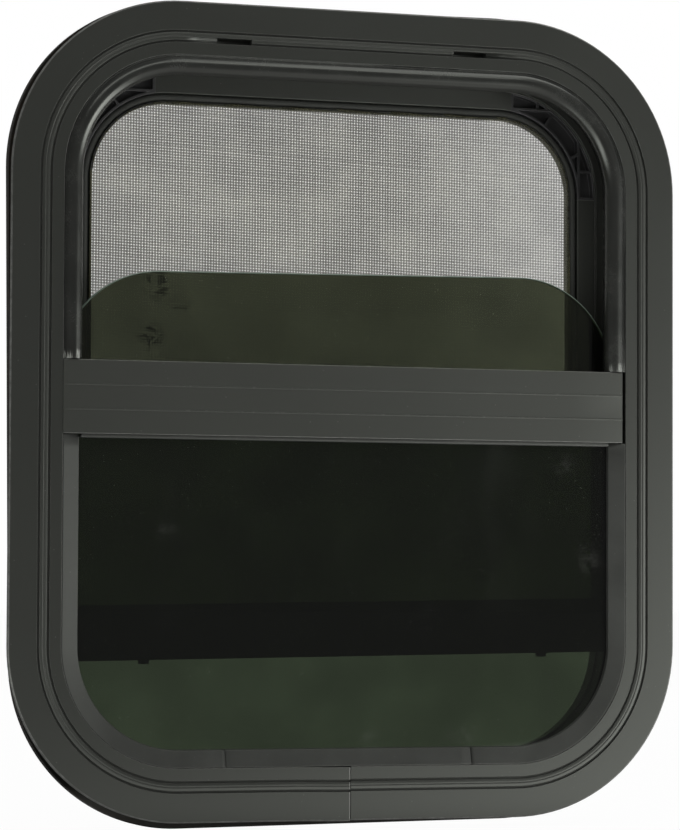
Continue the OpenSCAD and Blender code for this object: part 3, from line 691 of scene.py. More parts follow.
CRUMB = (0.62, 0.62, 0.60)
CRUMBS = [((x, y, z), size, CRUMB) for x, y, z, size in (
    (0.1052, -0.0050, 0.3481, 0.0009), (0.1068, -0.0045, 0.3466, 0.0007), (0.1169, -0.0050, 0.3374, 0.0006),
    (0.1208, -0.0045, 0.3324, 0.0007), (0.1190, -0.0055, 0.3352, 0.0005))]
bulb_rubber = rubber("smooth gasket rubber", 0.020, 0.25, chips=CRUMBS)
strip_rubber = rubber("satin strip rubber", 0.032, 0.45, 0.35, 0.38)
foam = rubber("closed-cell foam", 0.008, 0.8, 0.1)
bumper_rubber = rubber("matt bumper rubber", 0.008, 0.6, 0.1)
corner_plastic = moulded("black corner plastic", 0.024, 0.5)
latch_plastic = moulded("black latch plastic", 0.012, 0.45)
cord_rubber = rubber("dusty screen cord", 0.034, 0.8, 0.3)
# The channel flock is paler than the pile strip, standing in for light bounced into the channel: painted
# light.
channel_flock_lightened = flock("channel flock", 0.02)
pile = flock("pile strip", 0.01)
bare_metal = grained("mill aluminium", (2400, 3.0, 0.6), (0.4, 0.4, 0.408), (0.5, 0.5, 0.51), (0.01, 0.4),
                     0.25, stretch=(0.02, 1, 1), Roughness=0.345, Metallic=1.0)
screw_steel = black_steel("blackened screw steel")

# %% [markdown]
# ## Tinted glass
#
# Both panes are dark green privacy glass. A solid slab with full transmission takes its tint
# from the base colour, so the colour below is the share of light that comes through: about
# three percent for the fixed pane and nine for the sash. Dust and wiped smears lie on top as a
# thin matt layer, through the factor of a Mix Shader, because dirt hides the tint.

# %% Glass
def tinted_glass(name, through, dust_share=0.02, film=0.0, smudges=()):
    """Dark tinted glass with an even film, smears, specks of dust and smudges at given places."""
    made = Finish(name, Roughness=0.02, IOR=1.5, Transmission_Weight=1.0)
    thick, thin = [tuple(v * share for v in through) for share in (0.9, 1.24)]
    made.feed("Base Color", made.blend(made.noise(24, 3.0, 0.55).over(0.3, 0.7), thick, thin))
    smear = made.noise(16, 5.0, 0.6, made.place((1, 1, 0.35), (0, 0.5, 0)))
    specks = made.specks(520, 0.10) + made.specks(160, 0.05) * 0.8
    dirt = specks * 0.5 + smear.over(0.52, 0.85) * dust_share + film
    for at, size, strength in smudges:
        dirt = dirt + made.spot(at, size * 0.2, size) * made.noise(260, 5.0, 0.7).over(0.4, 0.7) * strength
    made.matt_where(dirt, (0.35, 0.36, 0.33))
    return made.material


SMUDGES = (((0.012, 0.0016, 0.031), 0.010, 0.05), ((0.060, 0.0016, 0.031), 0.012, 0.06),
           ((0.118, 0.0016, 0.172), 0.009, 0.05), ((0.131, 0.0016, 0.123), 0.010, 0.06),
           ((-0.096, 0.0016, 0.136), 0.008, 0.05))
fixed_tint = tinted_glass("fixed pane glass", (0.022, 0.031, 0.0175), 0.025, 0.013, SMUDGES)
sash_tint = tinted_glass("sash pane glass", (0.090, 0.102, 0.062), 0.012, 0.004)
edge_glass = grained("ground glass edge", (1800, 3.0, 0.5), (0.10, 0.14, 0.11), (0.24, 0.30, 0.25),
                     (0.03, 0.5), Roughness=0.45, Specular_IOR_Level=0.5)
print("materials:", len(bpy.data.materials))

# %% [markdown]
# ## The outer frame
#
# One aluminium extrusion, bent into a rounded rectangle and butted at the bottom. Its section
# has the flat flange with two grooves, the wall through the cut-out, the rebate for the
# glazing, the sash channel, the screw track and the long inner leg. The section is carried
# round the outline, leaving the hairline of the joint as a gap between its two ends, and a
# Boolean modifier cuts what else breaks the run: two weep slots and the slots that catch the
# sash's latch pins.

# %% Levels and insets of the frame, in millimetres
WALL_IN, REBATE_IN, CHANNEL_IN, LEG_IN = 17.0, 27.0, 25.0, 32.5
WALL_T = 1.4
REBATE_Z = -6.4
FIN_Z = REBATE_Z - WALL_T
WEB_Z = FIN_Z - 6.6
TRACK_Z = WEB_Z - WALL_T
SEAT_Z = TRACK_Z - 9.9
LEG_Z = SEAT_Z - 7.7
GROOVE_A, GROOVE_STEP, GROOVE_W, GROOVE_D = 15.2, 5.0, 1.2, 1.1
BEAD_FALL, BEAD_DIP = 0.24, 0.16
TRACK_IN, TRACK_GAP = 24.0, 2.4
SCREEN_FACE = SEAT_Z + 1.3
STOP_Z = SCREEN_FACE + 0.3


def groove(middle, width, depth):
    """Four section points of a groove, from its outer to its inner side."""
    low, high = middle - width / 2, middle + width / 2
    return [(low, FLANGE_T), (low, FLANGE_T - depth), (high, FLANGE_T - depth), (high, FLANGE_T)]


def crowned_bead():
    """The low double bead between the grooves, a crown with a fine hollow along its middle.

    At x from the middle of its half width a, the fall is f (x / a) squared, and the hollow
    adds d times e to the power of -(x / 0.3) squared.
    """
    half = (GROOVE_STEP - GROOVE_W) / 2
    x = np.linspace(-half, half, 19)
    z = FLANGE_T - BEAD_FALL * (x / half) ** 2 - BEAD_DIP * np.exp(-(x / 0.3) ** 2)
    return [(GROOVE_A + GROOVE_STEP / 2 + a, b) for a, b in zip(x, z)]


def frame_section():
    """The frame's section as (inset, z), clockwise from the flange's outer edge."""
    face = [(0, 0), (0, FLANGE_T - 0.7), (0.7, FLANGE_T)]
    face += groove(GROOVE_A, GROOVE_W, GROOVE_D)[:3] + crowned_bead()
    face += groove(GROOVE_A + GROOVE_STEP, GROOVE_W, GROOVE_D)[1:]
    inside = [(REBATE_IN, FLANGE_T), (REBATE_IN, REBATE_Z), (LEG_IN - 0.5, REBATE_Z), (LEG_IN - 0.5, FIN_Z),
              (CHANNEL_IN, FIN_Z), (CHANNEL_IN, WEB_Z), (LEG_IN, WEB_Z), (LEG_IN, STOP_Z + 1.1),
              (LEG_IN + 1.1, STOP_Z + 1.1), (LEG_IN + 1.1, STOP_Z), (LEG_IN, STOP_Z), (LEG_IN, LEG_Z),
              (LEG_IN - WALL_T, LEG_Z), (LEG_IN - WALL_T, TRACK_Z)]
    track = []
    for side in (1, -1):
        rib = TRACK_IN + side * (TRACK_GAP + WALL_T) / 2
        track += [(rib + WALL_T / 2, TRACK_Z), (rib + WALL_T / 2, SEAT_Z),
                  (rib - WALL_T / 2, SEAT_Z), (rib - WALL_T / 2, TRACK_Z)]
    wall = [(WALL_IN + WALL_T, TRACK_Z), (WALL_IN + WALL_T, SEAT_Z), (WALL_IN, SEAT_Z), (WALL_IN, 0)]
    return np.array(face + inside + track + wall)


section = frame_section()
softness = np.full(len(section), 0.22)
softness[:3] = (0.4, 0.45, 0.45)
softness[3:28] = 0.12
softness[28] = 0.25
section, marks = soften(section, softness)
PER_MM = 0.25 / (FRAME_W / 2 - CORNER_R)
JOINT_GAP, JOINT_STEP = 0.26, 0.4
# Marks below zero darken and roughen the paint on the groove floors and in the bead's hollow: painted shade.
floor_of_groove = (np.abs(section[:, 1] - FLANGE_T + GROOVE_D) < 0.2) & (section[:, 0] < REBATE_IN - 1)
marks = np.where(floor_of_groove, -1.0, marks)
in_hollow = (np.abs(section[:, 0] - GROOVE_A - GROOVE_STEP / 2) < 0.15) & (section[:, 1] > FLANGE_T - 1)
marks = np.where(in_hollow, -0.9, marks)
# The rim's mark makes its paint paler all round: edge wear and a painted highlight along the rim.
rim_wear_and_highlight = (section[:, 0] < 0.8) & (section[:, 1] > FLANGE_T - 0.9)
marks = np.where(rim_wear_and_highlight, 0.85, marks)
# The flange's outer side gets a mark of -2, which darkens its paint and makes its upper part matt: painted
# shade.
flange_side_for_shade = (section[:, 0] < 0.01) & (section[:, 1] >= 0) & (section[:, 1] < FLANGE_T - 0.8)
marks = np.where(flange_side_for_shade, -2.0, marks)


def joint_path():
    """Turns from just right of the joint, once round the frame, to just left of it."""
    start, end = 2.75 + JOINT_GAP / 2 * PER_MM, 6.75 - JOINT_GAP / 2 * PER_MM
    near = np.array([0.35, 0.7, 3, 8, 14, 20, 26, 32]) * PER_MM
    return np.unique(np.concatenate([turns(start, end), start + near, end - near]))


def uneven_joint(grid, path):
    """The end left of the joint hangs a little low; with s from 0 to 1 it is s s (3 - 2 s)."""
    s = np.clip(1 - (path[-1] - path) / (32 * PER_MM), 0, 1)
    grid[..., 1] -= JOINT_STEP * s * s * (3 - 2 * s)
    return grid


outer_frame = sweep("outer_frame_dressed", [(section, marks)], joint_path(), uneven_joint)
print("section points", len(section), "faces", len(outer_frame.data.polygons))

# %% [markdown]
# ## Cutting the frame
#
# The cutters are plain boxes joined in one mesh, which is removed once the cut is made. The exact
# Boolean solver takes the whole set in one step, and applying it at once leaves a clean mesh with
# no modifier that depends on another object.

# %% Cuts in the frame
def boxes(spans):
    """Points and faces of many boxes, each given as (x0, x1, y0, y1, z0, z1) in the plan."""
    spans = np.asarray(spans, float).reshape(-1, 6)
    pick = np.array([[0, 2, 4], [1, 2, 4], [1, 3, 4], [0, 3, 4], [0, 2, 5], [1, 2, 5], [1, 3, 5], [0, 3, 5]])
    points = spans[:, pick].reshape(-1, 3)
    quads = np.array([[0, 3, 2, 1], [4, 5, 6, 7], [0, 1, 5, 4], [1, 2, 6, 5], [2, 3, 7, 6], [3, 0, 4, 7]])
    faces = (quads[None] + 8 * np.arange(len(spans))[:, None, None]).reshape(-1, 4)
    return points, faces


def apply_modifiers(made):
    """Makes the modified shape the mesh itself."""
    view = bpy.context.evaluated_depsgraph_get()
    fresh = bpy.data.meshes.new_from_object(made.evaluated_get(view), preserve_all_data_layers=True,
                                            depsgraph=view)
    made.modifiers.clear()
    made.data = fresh
    return made


def cut(made, spans):
    """Takes boxes out of a piece."""
    points, faces = boxes(spans)
    tool = mesh_object("cutter", points, faces, smooth=False)
    step = made.modifiers.new("cuts", "BOOLEAN")
    step.operation, step.solver, step.object = "DIFFERENCE", "EXACT", tool
    bpy.context.view_layer.update()
    apply_modifiers(made)
    bpy.data.objects.remove(tool)
    return made


SLOT_X, SLOT_LEN, SLOT_H = 63.2, 18.0, 2.9
slot_low = FRAME_H / 2 - GROOVE_A - GROOVE_STEP - GROOVE_W / 2
slot_span = (slot_low, slot_low + SLOT_H, -3.0, FLANGE_T + 1)
cuts = [(s * SLOT_X - SLOT_LEN / 2, s * SLOT_X + SLOT_LEN / 2, *slot_span) for s in (-1, 1)]
CATCH_Y, CATCH_STEP, CATCH_H, CATCH_Z = -115.8, 52.1, 8.0, (-18.5, -15.9)
leg_x = FRAME_W / 2 - LEG_IN
for k in range(3):
    y = CATCH_Y + k * CATCH_STEP
    cuts += [(*span, y - CATCH_H / 2, y + CATCH_H / 2, *CATCH_Z) for span in ((leg_x - 1, leg_x + 2),
                                                                           (-leg_x - 2, -leg_x + 1))]
cut(outer_frame, cuts)


def worn_and_highlit_joint(made):
    """Marks the flange's sawn edge on the left of the joint, whose paint turns pale: rubbed-off paint and a
    painted highlight.
    """
    points = np.zeros(len(made.data.vertices) * 3)
    made.data.vertices.foreach_get("co", points)
    points = points.reshape(-1, 3) / MM
    layer = made.data.attributes["edge"].data
    values = np.zeros(len(layer))
    layer.foreach_get("value", values)
    spot = (points[:, 0] > -0.5) & (points[:, 0] < 0) & (points[:, 2] < 40) & (-points[:, 1] > FLANGE_T - 0.2)
    layer.foreach_set("value", np.where(spot, 1.3, values).astype(np.float32))


worn_and_highlit_joint(outer_frame)
dress(weighted(outer_frame), frame_paint, "outer_frame")

# %% [markdown]
# ## Upper gasket
#
# Round the upper half a hollow rubber bulb seals the sash, with a lip that wipes its glass. The
# bulb is pushed into the rebate and stops just above the cross rail. It is a sweep with a hole
# along it. Hand-fitted rubber is never quite even, so a slow wave is added. Its mark says where
# the bulb turns to the glass; along the top run the rubber there is made matt as painted shade,
# so that side shows no highlight.

# %% Upper gasket
BULB_R, BULB_WALL = 5.0, 1.7
FOOT_IN = REBATE_IN + 0.04
BULB_MID = (FOOT_IN + BULB_R, FLANGE_T - 3.6)
RAIL_TOP, RAIL_FOOT = 24.0, -12.6
PANE_Z, PANE_FACE = REBATE_Z + 0.8, REBATE_Z + 4.8
SASH_FACE = FIN_Z - 1.5
SASH_BACK = SASH_FACE - 3.2
EASE = 0.3


def gasket_section():
    """The bulb's outline: up the foot, over the bulb and down round the wiping lip."""
    lip = LEG_IN + 1.0
    over_bulb = round_bar(BULB_MID, BULB_R, 145.9, -53.1, 40)
    under_bulb = round_bar(BULB_MID, BULB_R, -73.7, -85.4, 4)
    return np.array([(FOOT_IN, REBATE_Z + 0.1), (FOOT_IN, FLANGE_T - 0.15), *over_bulb,
                     (lip + 1.6, SASH_FACE + EASE), (lip, SASH_FACE + EASE), *under_bulb,
                     (LEG_IN, REBATE_Z + 0.1)])


def hand_fitted(grid, path):
    """Lets soft rubber wander by a tenth or two along its run."""
    wave = 0.13 * np.sin(path * 9.3) + 0.08 * np.sin(path * 23.7 + 1.0)
    grid[..., 2] += wave * np.clip((grid[..., 2] - REBATE_Z) / 8, 0, 1)
    return grid


straight = FRAME_W / 2 - CORNER_R
gasket_path = turns(side_turn(3, RAIL_TOP + EASE), side_turn(1, RAIL_TOP + EASE) + 4, 40, 16)
hole = round_bar(BULB_MID, BULB_R - BULB_WALL, 0, 345, 24)
bulb = gasket_section()
facing = np.degrees(np.arctan2(bulb[:, 1] - BULB_MID[1], bulb[:, 0] - BULB_MID[0]))
# The mark is 1 on the bulb's inner side, where the top run is later made matt as painted shade.
dusty = np.clip((76 - facing) / 14, 0, 1) * (bulb[:, 0] > BULB_MID[0])
upper_gasket = sweep("upper_gasket_dressed", [(bulb, dusty), (hole, np.zeros(24))],
                     gasket_path, hand_fitted)
dress(weighted(upper_gasket), bulb_rubber, "upper_gasket")

# %% [markdown]
# ## Glazing strips
#
# Below the rail a flatter strip wedges the fixed pane in, in three lengths: two long ones and a
# short one that closes the gap in the middle. One loop sweeps the same wedge over three parts
# of the outline, so the cuts between the lengths are real gaps.

# %% Glazing strips
STRIP_IN, STRIP_END, STRIP_DROP = REBATE_IN + 0.12, REBATE_IN + EASE + 8.4, 2.3


def strip_section():
    """The wedge's section: a short round shoulder, one flat slope, and a round inner edge."""
    top = FLANGE_T - 0.15
    return soften([(STRIP_IN, PANE_FACE), (STRIP_IN, top - 0.1), (STRIP_IN + 0.5, top - 0.1),
                   (STRIP_END, top - STRIP_DROP), (STRIP_END + 0.5, PANE_FACE)], (0.1, 0.3, 0.8, 0.5, 0.1), 5)


strip_shape, strip_marks = strip_section()
SPLICE = 65.0


def bottom_turn(x):
    """The turn on the frame's bottom side at x."""
    return 2.5 + 0.5 * (x + straight) / (2 * straight)


below_rail = RAIL_FOOT - EASE
for name, start, end in (("left", side_turn(1, below_rail), bottom_turn(-SPLICE - 0.4)),
                         ("bottom", bottom_turn(-SPLICE), bottom_turn(SPLICE)),
                         ("right", bottom_turn(SPLICE + 0.4), side_turn(3, below_rail))):
    strip = sweep("glazing_strip_" + name + "_dressed", [(strip_shape, strip_marks)],
                  turns(start, end, 40, 24), hand_fitted)
    dress(weighted(strip), strip_rubber, "glazing_strip_" + name)

# %% [markdown]
# ## The cross rail
#
# A straight extrusion with a flat face, two fine raised lines and a rounded lower edge. It
# stands a little proud of the band, is butted to the frame on the left and stops two
# millimetres short of it on the right, as in the photograph.

# %% Cross rail
RAIL_H, RAIL_T, BEAD_W, BEAD_H = RAIL_TOP - RAIL_FOOT, 1.5, 0.8, 0.35
RAIL_FACE = FLANGE_T + 0.3
RAIL_X = (-FRAME_W / 2 + REBATE_IN + 0.1, FRAME_W / 2 - REBATE_IN - 2.0)
HOOK_X, HOOK_H, HOOK_Z = FRAME_W / 2 - LEG_IN - EASE, 4.0, FIN_Z + EASE


def rail_outline():
    """The rail's section as (height above its foot, z), round its three webs."""
    back, top = REBATE_Z + EASE, RAIL_H
    bite = 7.1
    face = [(0, PANE_FACE + EASE), (0, RAIL_FACE)]
    for bead in (RAIL_H / 3, RAIL_H * 2 / 3):
        face += [(bead - BEAD_W / 2, RAIL_FACE), (bead - BEAD_W / 2, RAIL_FACE + BEAD_H),
                 (bead + BEAD_W / 2, RAIL_FACE + BEAD_H), (bead + BEAD_W / 2, RAIL_FACE)]
    face += [(top, RAIL_FACE), (top, back), (top - RAIL_T, back), (top - RAIL_T, RAIL_FACE - RAIL_T)]
    face += [(bite + RAIL_T, RAIL_FACE - RAIL_T), (bite + RAIL_T, back), (bite, back),
             (bite, RAIL_FACE - RAIL_T), (RAIL_T, RAIL_FACE - RAIL_T), (RAIL_T, PANE_FACE + EASE)]
    return np.array(face) + (RAIL_FOOT, 0)


rail_points = rail_outline()
rail_soft = np.full(len(rail_points), 0.2)
rail_soft[[1, 10]] = 0.45
rail_section, rail_marks = soften(rail_points, rail_soft)
rail_marks = np.where(rail_section[:, 1] > RAIL_FACE + BEAD_H / 2, 0.45, rail_marks)
cross_rail = extrude("cross_rail_dressed", rail_section, rail_marks, *RAIL_X)
dress(weighted(cross_rail), rail_paint, "cross_rail")
lip_low, lip_out = RAIL_FOOT - 1.9, RAIL_FACE - 0.7
lip_points, lip_marks = soften([(lip_low, PANE_FACE + 0.05), (lip_low, lip_out), (RAIL_FOOT - 0.05, lip_out),
                                (RAIL_FOOT - 0.05, PANE_FACE + 0.05)], (0.2, 1.2, 0.2, 0.2), 6)
lip_end = FRAME_W / 2 - REBATE_IN - EASE - 9.2
rail_lip = extrude("cross_rail_glazing_lip", lip_points, lip_marks, -lip_end, lip_end)
dress(weighted(rail_lip), strip_rubber, "cross_rail", False)
hook_in, hook_top = RAIL_TOP - RAIL_T, RAIL_TOP - 0.05
hook_y = hook_in - HOOK_H
hook_points, hook_marks = soften([(hook_y, HOOK_Z), (hook_y, HOOK_Z + 1.2), (hook_in, HOOK_Z + 1.2),
                                  (hook_in, 0), (hook_top, 0), (hook_top, HOOK_Z)], 0.15)
hook = extrude("cross_rail_hook", hook_points, hook_marks, -HOOK_X, HOOK_X)
dress(weighted(hook), rail_paint, "cross_rail", False)

# %% [markdown]
# ## Panes
#
# A pane is a rounded plate with ground arrises. The two faces are clear and the narrow edge is
# matt, so the mesh has two materials. The sash is a second plate behind the first; it hangs a
# little crooked in its channels, as the photograph shows.

# %% Panes
def plate(name, size, radii, z0, z1, height, glass, angle=0.0, arris=0.5):
    """A plate whose outline is a rounded rectangle; its rows are the steps over its edge."""
    path = turns(0, 4, 24, 4)[:-1]
    steps = [(arris, z0), (0, z0 + arris), (0, z1 - arris), (arris, z1)]
    rings = []
    for inset, z in steps:
        flat = outline(path, inset, size, radii, (0, height))
        rings.append(np.concatenate([flat, np.full((len(path), 1), z)], 1))
    points = turned(np.stack(rings), angle, height)
    faces = [list(f) for f in grid_faces(len(steps), len(path), False, True)]
    n = len(path)
    faces += [list(range(n)), list(range(3 * n, 4 * n))[::-1]]
    made = mesh_object(name, points, faces, smooth=False, materials=(glass, edge_glass))
    kinds = np.array([0 if len(p.vertices) > 4 else 1 for p in made.data.polygons])
    made.data.polygons.foreach_set("material_index", kinds)
    return made


PANE_W, PANE_TOP = FRAME_W - 2 * REBATE_IN - 1.0, RAIL_FOOT + 6.6
PANE_FOOT = -(FRAME_H / 2 - REBATE_IN - 0.5)
fixed_glass = plate("fixed_glass_dressed", (PANE_W, PANE_TOP - PANE_FOOT), (1, 1, 60, 60), PANE_Z,
                    PANE_FACE, (PANE_TOP + PANE_FOOT) / 2, fixed_tint)
fit(fixed_glass, "fixed_glass")
SASH_W, SASH_R, SASH_H, SASH_FOOT = FRAME_W - 57.0, 52.0, 193.9, -122.6
SASH_TURN = math.asin(4.4 / SASH_W)
sash_low = SASH_FOOT + 1.8
sash_top = SASH_FOOT + SASH_H
sash_glass = plate("sash_glass_dressed", (SASH_W, sash_top - sash_low), (SASH_R, SASH_R, 1, 1), SASH_BACK,
                   SASH_FACE, (sash_top + sash_low) / 2, sash_tint, SASH_TURN)
fit(sash_glass, "sash_glass")
print("sash hangs", round(math.degrees(SASH_TURN), 2), "degrees out of square")

# %% [markdown]
# ## Clamp ring
#
# The ring is a pressed flat band with its rim turned towards the wall, screwed on a little
# askew. Its outer edge and its inner edge follow different outlines, so two sets of rows with
# the same turns are joined in one grid.

# %% Clamp ring
RING_W, RING_H, RING_R = FRAME_W - 11.0, FRAME_H + 6.4, 85.0
RING_FACE = SEAT_Z - 0.2
RING_T, RIM_W, RIM_D = 1.5, 3.0, 5.0
RING_IN = LEG_IN - WALL_T - 2.9
RING_TURN = math.asin(2.6 / (RING_H / 2))


def ring_mesh():
    """The ring's rows: five on the outer outline, then the rest on the inner one."""
    path = turns(0, 4, 40, 12)[:-1]
    back = RING_FACE - RING_T
    rim, rim_marks = soften([(0, back), (0, RING_FACE + RIM_D), (RIM_W, RING_FACE + RIM_D),
                             (RIM_W, RING_FACE)], (0.9, 0.5, 0.5, 0.6), 4)
    outer = sweep_points(rim, path, (RING_W, RING_H), RING_R)
    inner = sweep_points([(0, RING_FACE), (0.2, RING_FACE - 0.25), (0.2, back + 0.25), (0, back)],
                         path, (FRAME_W - 2 * RING_IN, FRAME_H - 2 * RING_IN), CORNER_R - RING_IN)
    points = turned(np.concatenate([outer, inner]), RING_TURN)
    marks = np.concatenate([rim_marks, [0.6, 1, 1, 0.6]])
    return grids_object("clamp_ring_dressed", [points], [marks], True)


clamp_ring = ring_mesh()
dress(weighted(clamp_ring), shaded_ring_paint, "clamp_ring")

# %% [markdown]
# ## Clamp screws
#
# The screws have pan heads with a cross recess. A head is a surface of radius and angle, and
# the recess is taken out of its height: the smaller the distance to one of two crossing lines,
# the deeper the surface. One head is made, and each screw is a turned copy of it.

# %% Clamp screws
HEAD_R, HEAD_H, SHANK_R = 3.2, 2.2, 1.1
RING_BACK = RING_FACE - RING_T


def screw_spots():
    """The plan places of the clamp screws, in the frame's screw track."""
    x, y = FRAME_W / 2 - TRACK_IN, FRAME_H / 2 - TRACK_IN
    up, along = FRAME_H / 2 - CORNER_R - 22.0, FRAME_W / 2 - CORNER_R - 34.5
    upright = [(s * x, k * up) for s in (-1, 1) for k in (-1, 0, 1)]
    level = [(k * along, s * y) for s in (-1, 1) for k in (-1, 1)]
    return np.array(upright + level)


def screw_head():
    """Rows of radius by columns of angle: a low dome with a cross recess and a thin shank.

    The dome's height is the head's height times the root of 1 - (r / R) to the fourth power.
    The recess takes away up to 1.3 mm where the distance to the nearer arm's line is small.
    """
    r = np.concatenate([np.linspace(0.02, 1.9, 14), np.linspace(2.1, HEAD_R, 8)])
    a = np.linspace(0, 2 * math.pi, 48, endpoint=False)
    rr, aa = np.meshgrid(r, a, indexing="ij")
    x, y = rr * np.cos(aa), rr * np.sin(aa)
    dome = HEAD_H * (0.35 + 0.65 * np.sqrt(np.clip(1 - (rr / (HEAD_R + 0.02)) ** 4, 0, 1)))
    near = np.minimum(np.abs(x), np.abs(y))
    deep = np.clip((0.42 - near) / 0.16, 0, 1) * np.clip((1.8 - rr) / 0.35, 0, 1)
    top = np.stack([x, y, -(dome - 1.3 * deep)], -1)
    rest = []
    for radius, depth in ((HEAD_R, 0.0), (SHANK_R, 0.0), (SHANK_R, 8.2), (0.1, 9.0)):
        rest.append(np.stack([radius * np.cos(a), radius * np.sin(a), np.full_like(a, depth)], -1))
    return np.concatenate([top, np.stack(rest)])


def screws():
    """Every screw in one mesh, each turned as it happened to stop."""
    head = screw_head()
    rows, cols = head.shape[:2]
    spots = screw_spots()
    spin = np.random.default_rng(7).uniform(0, math.pi / 2, len(spots))
    points = np.stack([turned(head, angle) for angle in spin])
    points[..., :2] += spots[:, None, None]
    points[..., 2] += RING_BACK
    one = [list(f) for f in grid_faces(rows, cols, False, True)]
    one += [list(range(cols))[::-1], list(range((rows - 1) * cols, rows * cols))]
    faces = [[v + k * rows * cols for v in f] for k in range(len(spots)) for f in one]
    rim = np.exp(-((np.arange(rows) - 21) / 1.5) ** 2) + np.exp(-((np.arange(rows) - 11) / 2.0) ** 2) * 0.7
    marks = np.tile(np.repeat(rim, cols), len(spots))
    return mesh_object("clamp_screws_dressed", points, faces, marks)


dress(screws(), screw_steel, "clamp_screws")

# %% [markdown]
# ## Insect screen
#
# The screen is woven: every upright thread passes over one level thread and under the next.
# One grid of crossings, with small slips of the weave, gives both sets of threads. The cloth
# ends ragged on the lip beside the groove where the cord presses it in, and sinks a little
# towards that groove.

# %% Screen sizes and crossings
SCREEN_W = FRAME_W - 2 * (LEG_IN + EASE)
SCREEN_TOP = FRAME_H / 2 - LEG_IN - EASE
SCREEN_FOOT = RAIL_FOOT + 1.6
SCREEN_R = CORNER_R - LEG_IN - EASE
BAND_Z = SCREEN_FACE - 1.0
BAR_W, GROOVE_IN_W = 10.0, 4.2
PITCH_X, PITCH_Y, FALL = 1.465, 1.411, math.tan(math.radians(2.7))
THREAD_W, THREAD_T, WEAVE = 1.15, 0.34, 0.13


def screen_inset(x, y):
    """How far a plan point lies inside the screen's outline, which has square feet.

    With q the distance past the corner's middle each way, the inset is the radius less the
    length of the positive part of q, less any negative part where both are negative.
    """
    middle = (SCREEN_TOP + SCREEN_FOOT) / 2
    radius = np.where(y > middle, SCREEN_R, 0.0)
    qx = np.abs(x) - (SCREEN_W / 2 - radius)
    qy = np.abs(y - middle) - ((SCREEN_TOP - SCREEN_FOOT) / 2 - radius)
    outside = np.hypot(np.maximum(qx, 0), np.maximum(qy, 0))
    return radius - outside - np.minimum(np.maximum(qx, qy), 0)


def crossings():
    """Where the threads cross, in rows of uprights, with small slips of the weave."""
    dice = np.random.default_rng(11)
    xs = np.arange(-SCREEN_W / 2, SCREEN_W / 2, PITCH_X)
    ys = np.arange(SCREEN_FOOT - 8, SCREEN_TOP + 8, PITCH_Y)
    x, y = np.meshgrid(xs, ys, indexing="ij")
    slip_x = dice.normal(0, 0.025, (len(xs), 1)) + 0.05 * np.sin(y / 31 + x / 47)
    slip_y = dice.normal(0, 0.018, (1, len(ys))) + 0.06 * np.sin(x / 39 + 1.3)
    return x + slip_x, y - FALL * x + slip_y


cross_x, cross_y = crossings()
cross_in = screen_inset(cross_x, cross_y)
sag = 0.35 * np.clip((cross_in - 16) / 6, 0, 1) * np.sin(cross_x / 61) * np.sin(cross_y / 43)
dip = 0.75 * np.exp(-((cross_in - BAR_W - GROOVE_IN_W / 2) / 1.5) ** 2)
cross_z = BAND_Z + 0.36 + sag * 0.3 - dip
over = np.where((np.add.outer(np.arange(cross_x.shape[0]), np.arange(cross_x.shape[1]))) % 2, 1.0, -1.0)
print("crossings", int((cross_in > BAR_W).sum()))

# %% [markdown]
# ## Threads
#
# A flat picture of a net would look dead from the side, so the threads are real, but spare. Each
# is a four-sided tube with one ring at each crossing, where it is pushed out or in by the
# weave, and it ends ragged against the bar. Both sets are one taut sheet, as large as the
# opening between the grooves.

# %% Threads
def threads(name, x, y, z, inset, wide):
    """Four-sided tubes along each row of crossings, kept where both ends lie inside the bar.

    The four corners of a ring sit a half width to each side along `wide`, and a half
    thickness towards and away from the viewer, as a diamond.
    """
    dice = np.random.default_rng(len(name))
    ragged = BAR_W + GROOVE_IN_W + dice.uniform(0, 0.4, (len(x), 1))
    inside = inset > ragged
    kept = inside[:, 1:] & inside[:, :-1]
    corner = np.array([(1, 0), (0, 1), (-1, 0), (0, -1)], float)
    side = np.array(wide)[None, None, None] * corner[:, 0][None, None, :, None] * THREAD_W / 2
    rings = np.stack([x, y, z], -1)[:, :, None] + side
    rings[..., 2] += corner[:, 1] * THREAD_T / 2
    rows, cols = x.shape
    number = np.arange(rows * cols * 4).reshape(rows, cols, 4)
    after = np.roll(number, -1, 2)
    quads = np.stack([number[:, :-1], after[:, :-1], after[:, 1:], number[:, 1:]], -1)[kept]
    starts = kept & ~np.pad(kept, ((0, 0), (1, 0)))[:, :-1]
    stops = kept & ~np.pad(kept, ((0, 0), (0, 1)))[:, 1:]
    caps = np.concatenate([number[:, :-1][starts][:, ::-1], number[:, 1:][stops]])
    faces = np.concatenate([quads.reshape(-1, 4), caps])
    used, renumbered = np.unique(faces, return_inverse=True)
    return mesh_object(name, rings.reshape(-1, 3)[used], renumbered.reshape(-1, 4))


uprights = threads("screen_mesh_uprights", cross_x, cross_y, cross_z + over * WEAVE, cross_in, (1, 0, 0))
levels = threads("screen_mesh_levels", cross_x.T, cross_y.T, (cross_z - over * WEAVE).T, cross_in.T,
                 (0, 1, 0))
print("triangles", 2 * (len(uprights.data.polygons) + len(levels.data.polygons)))


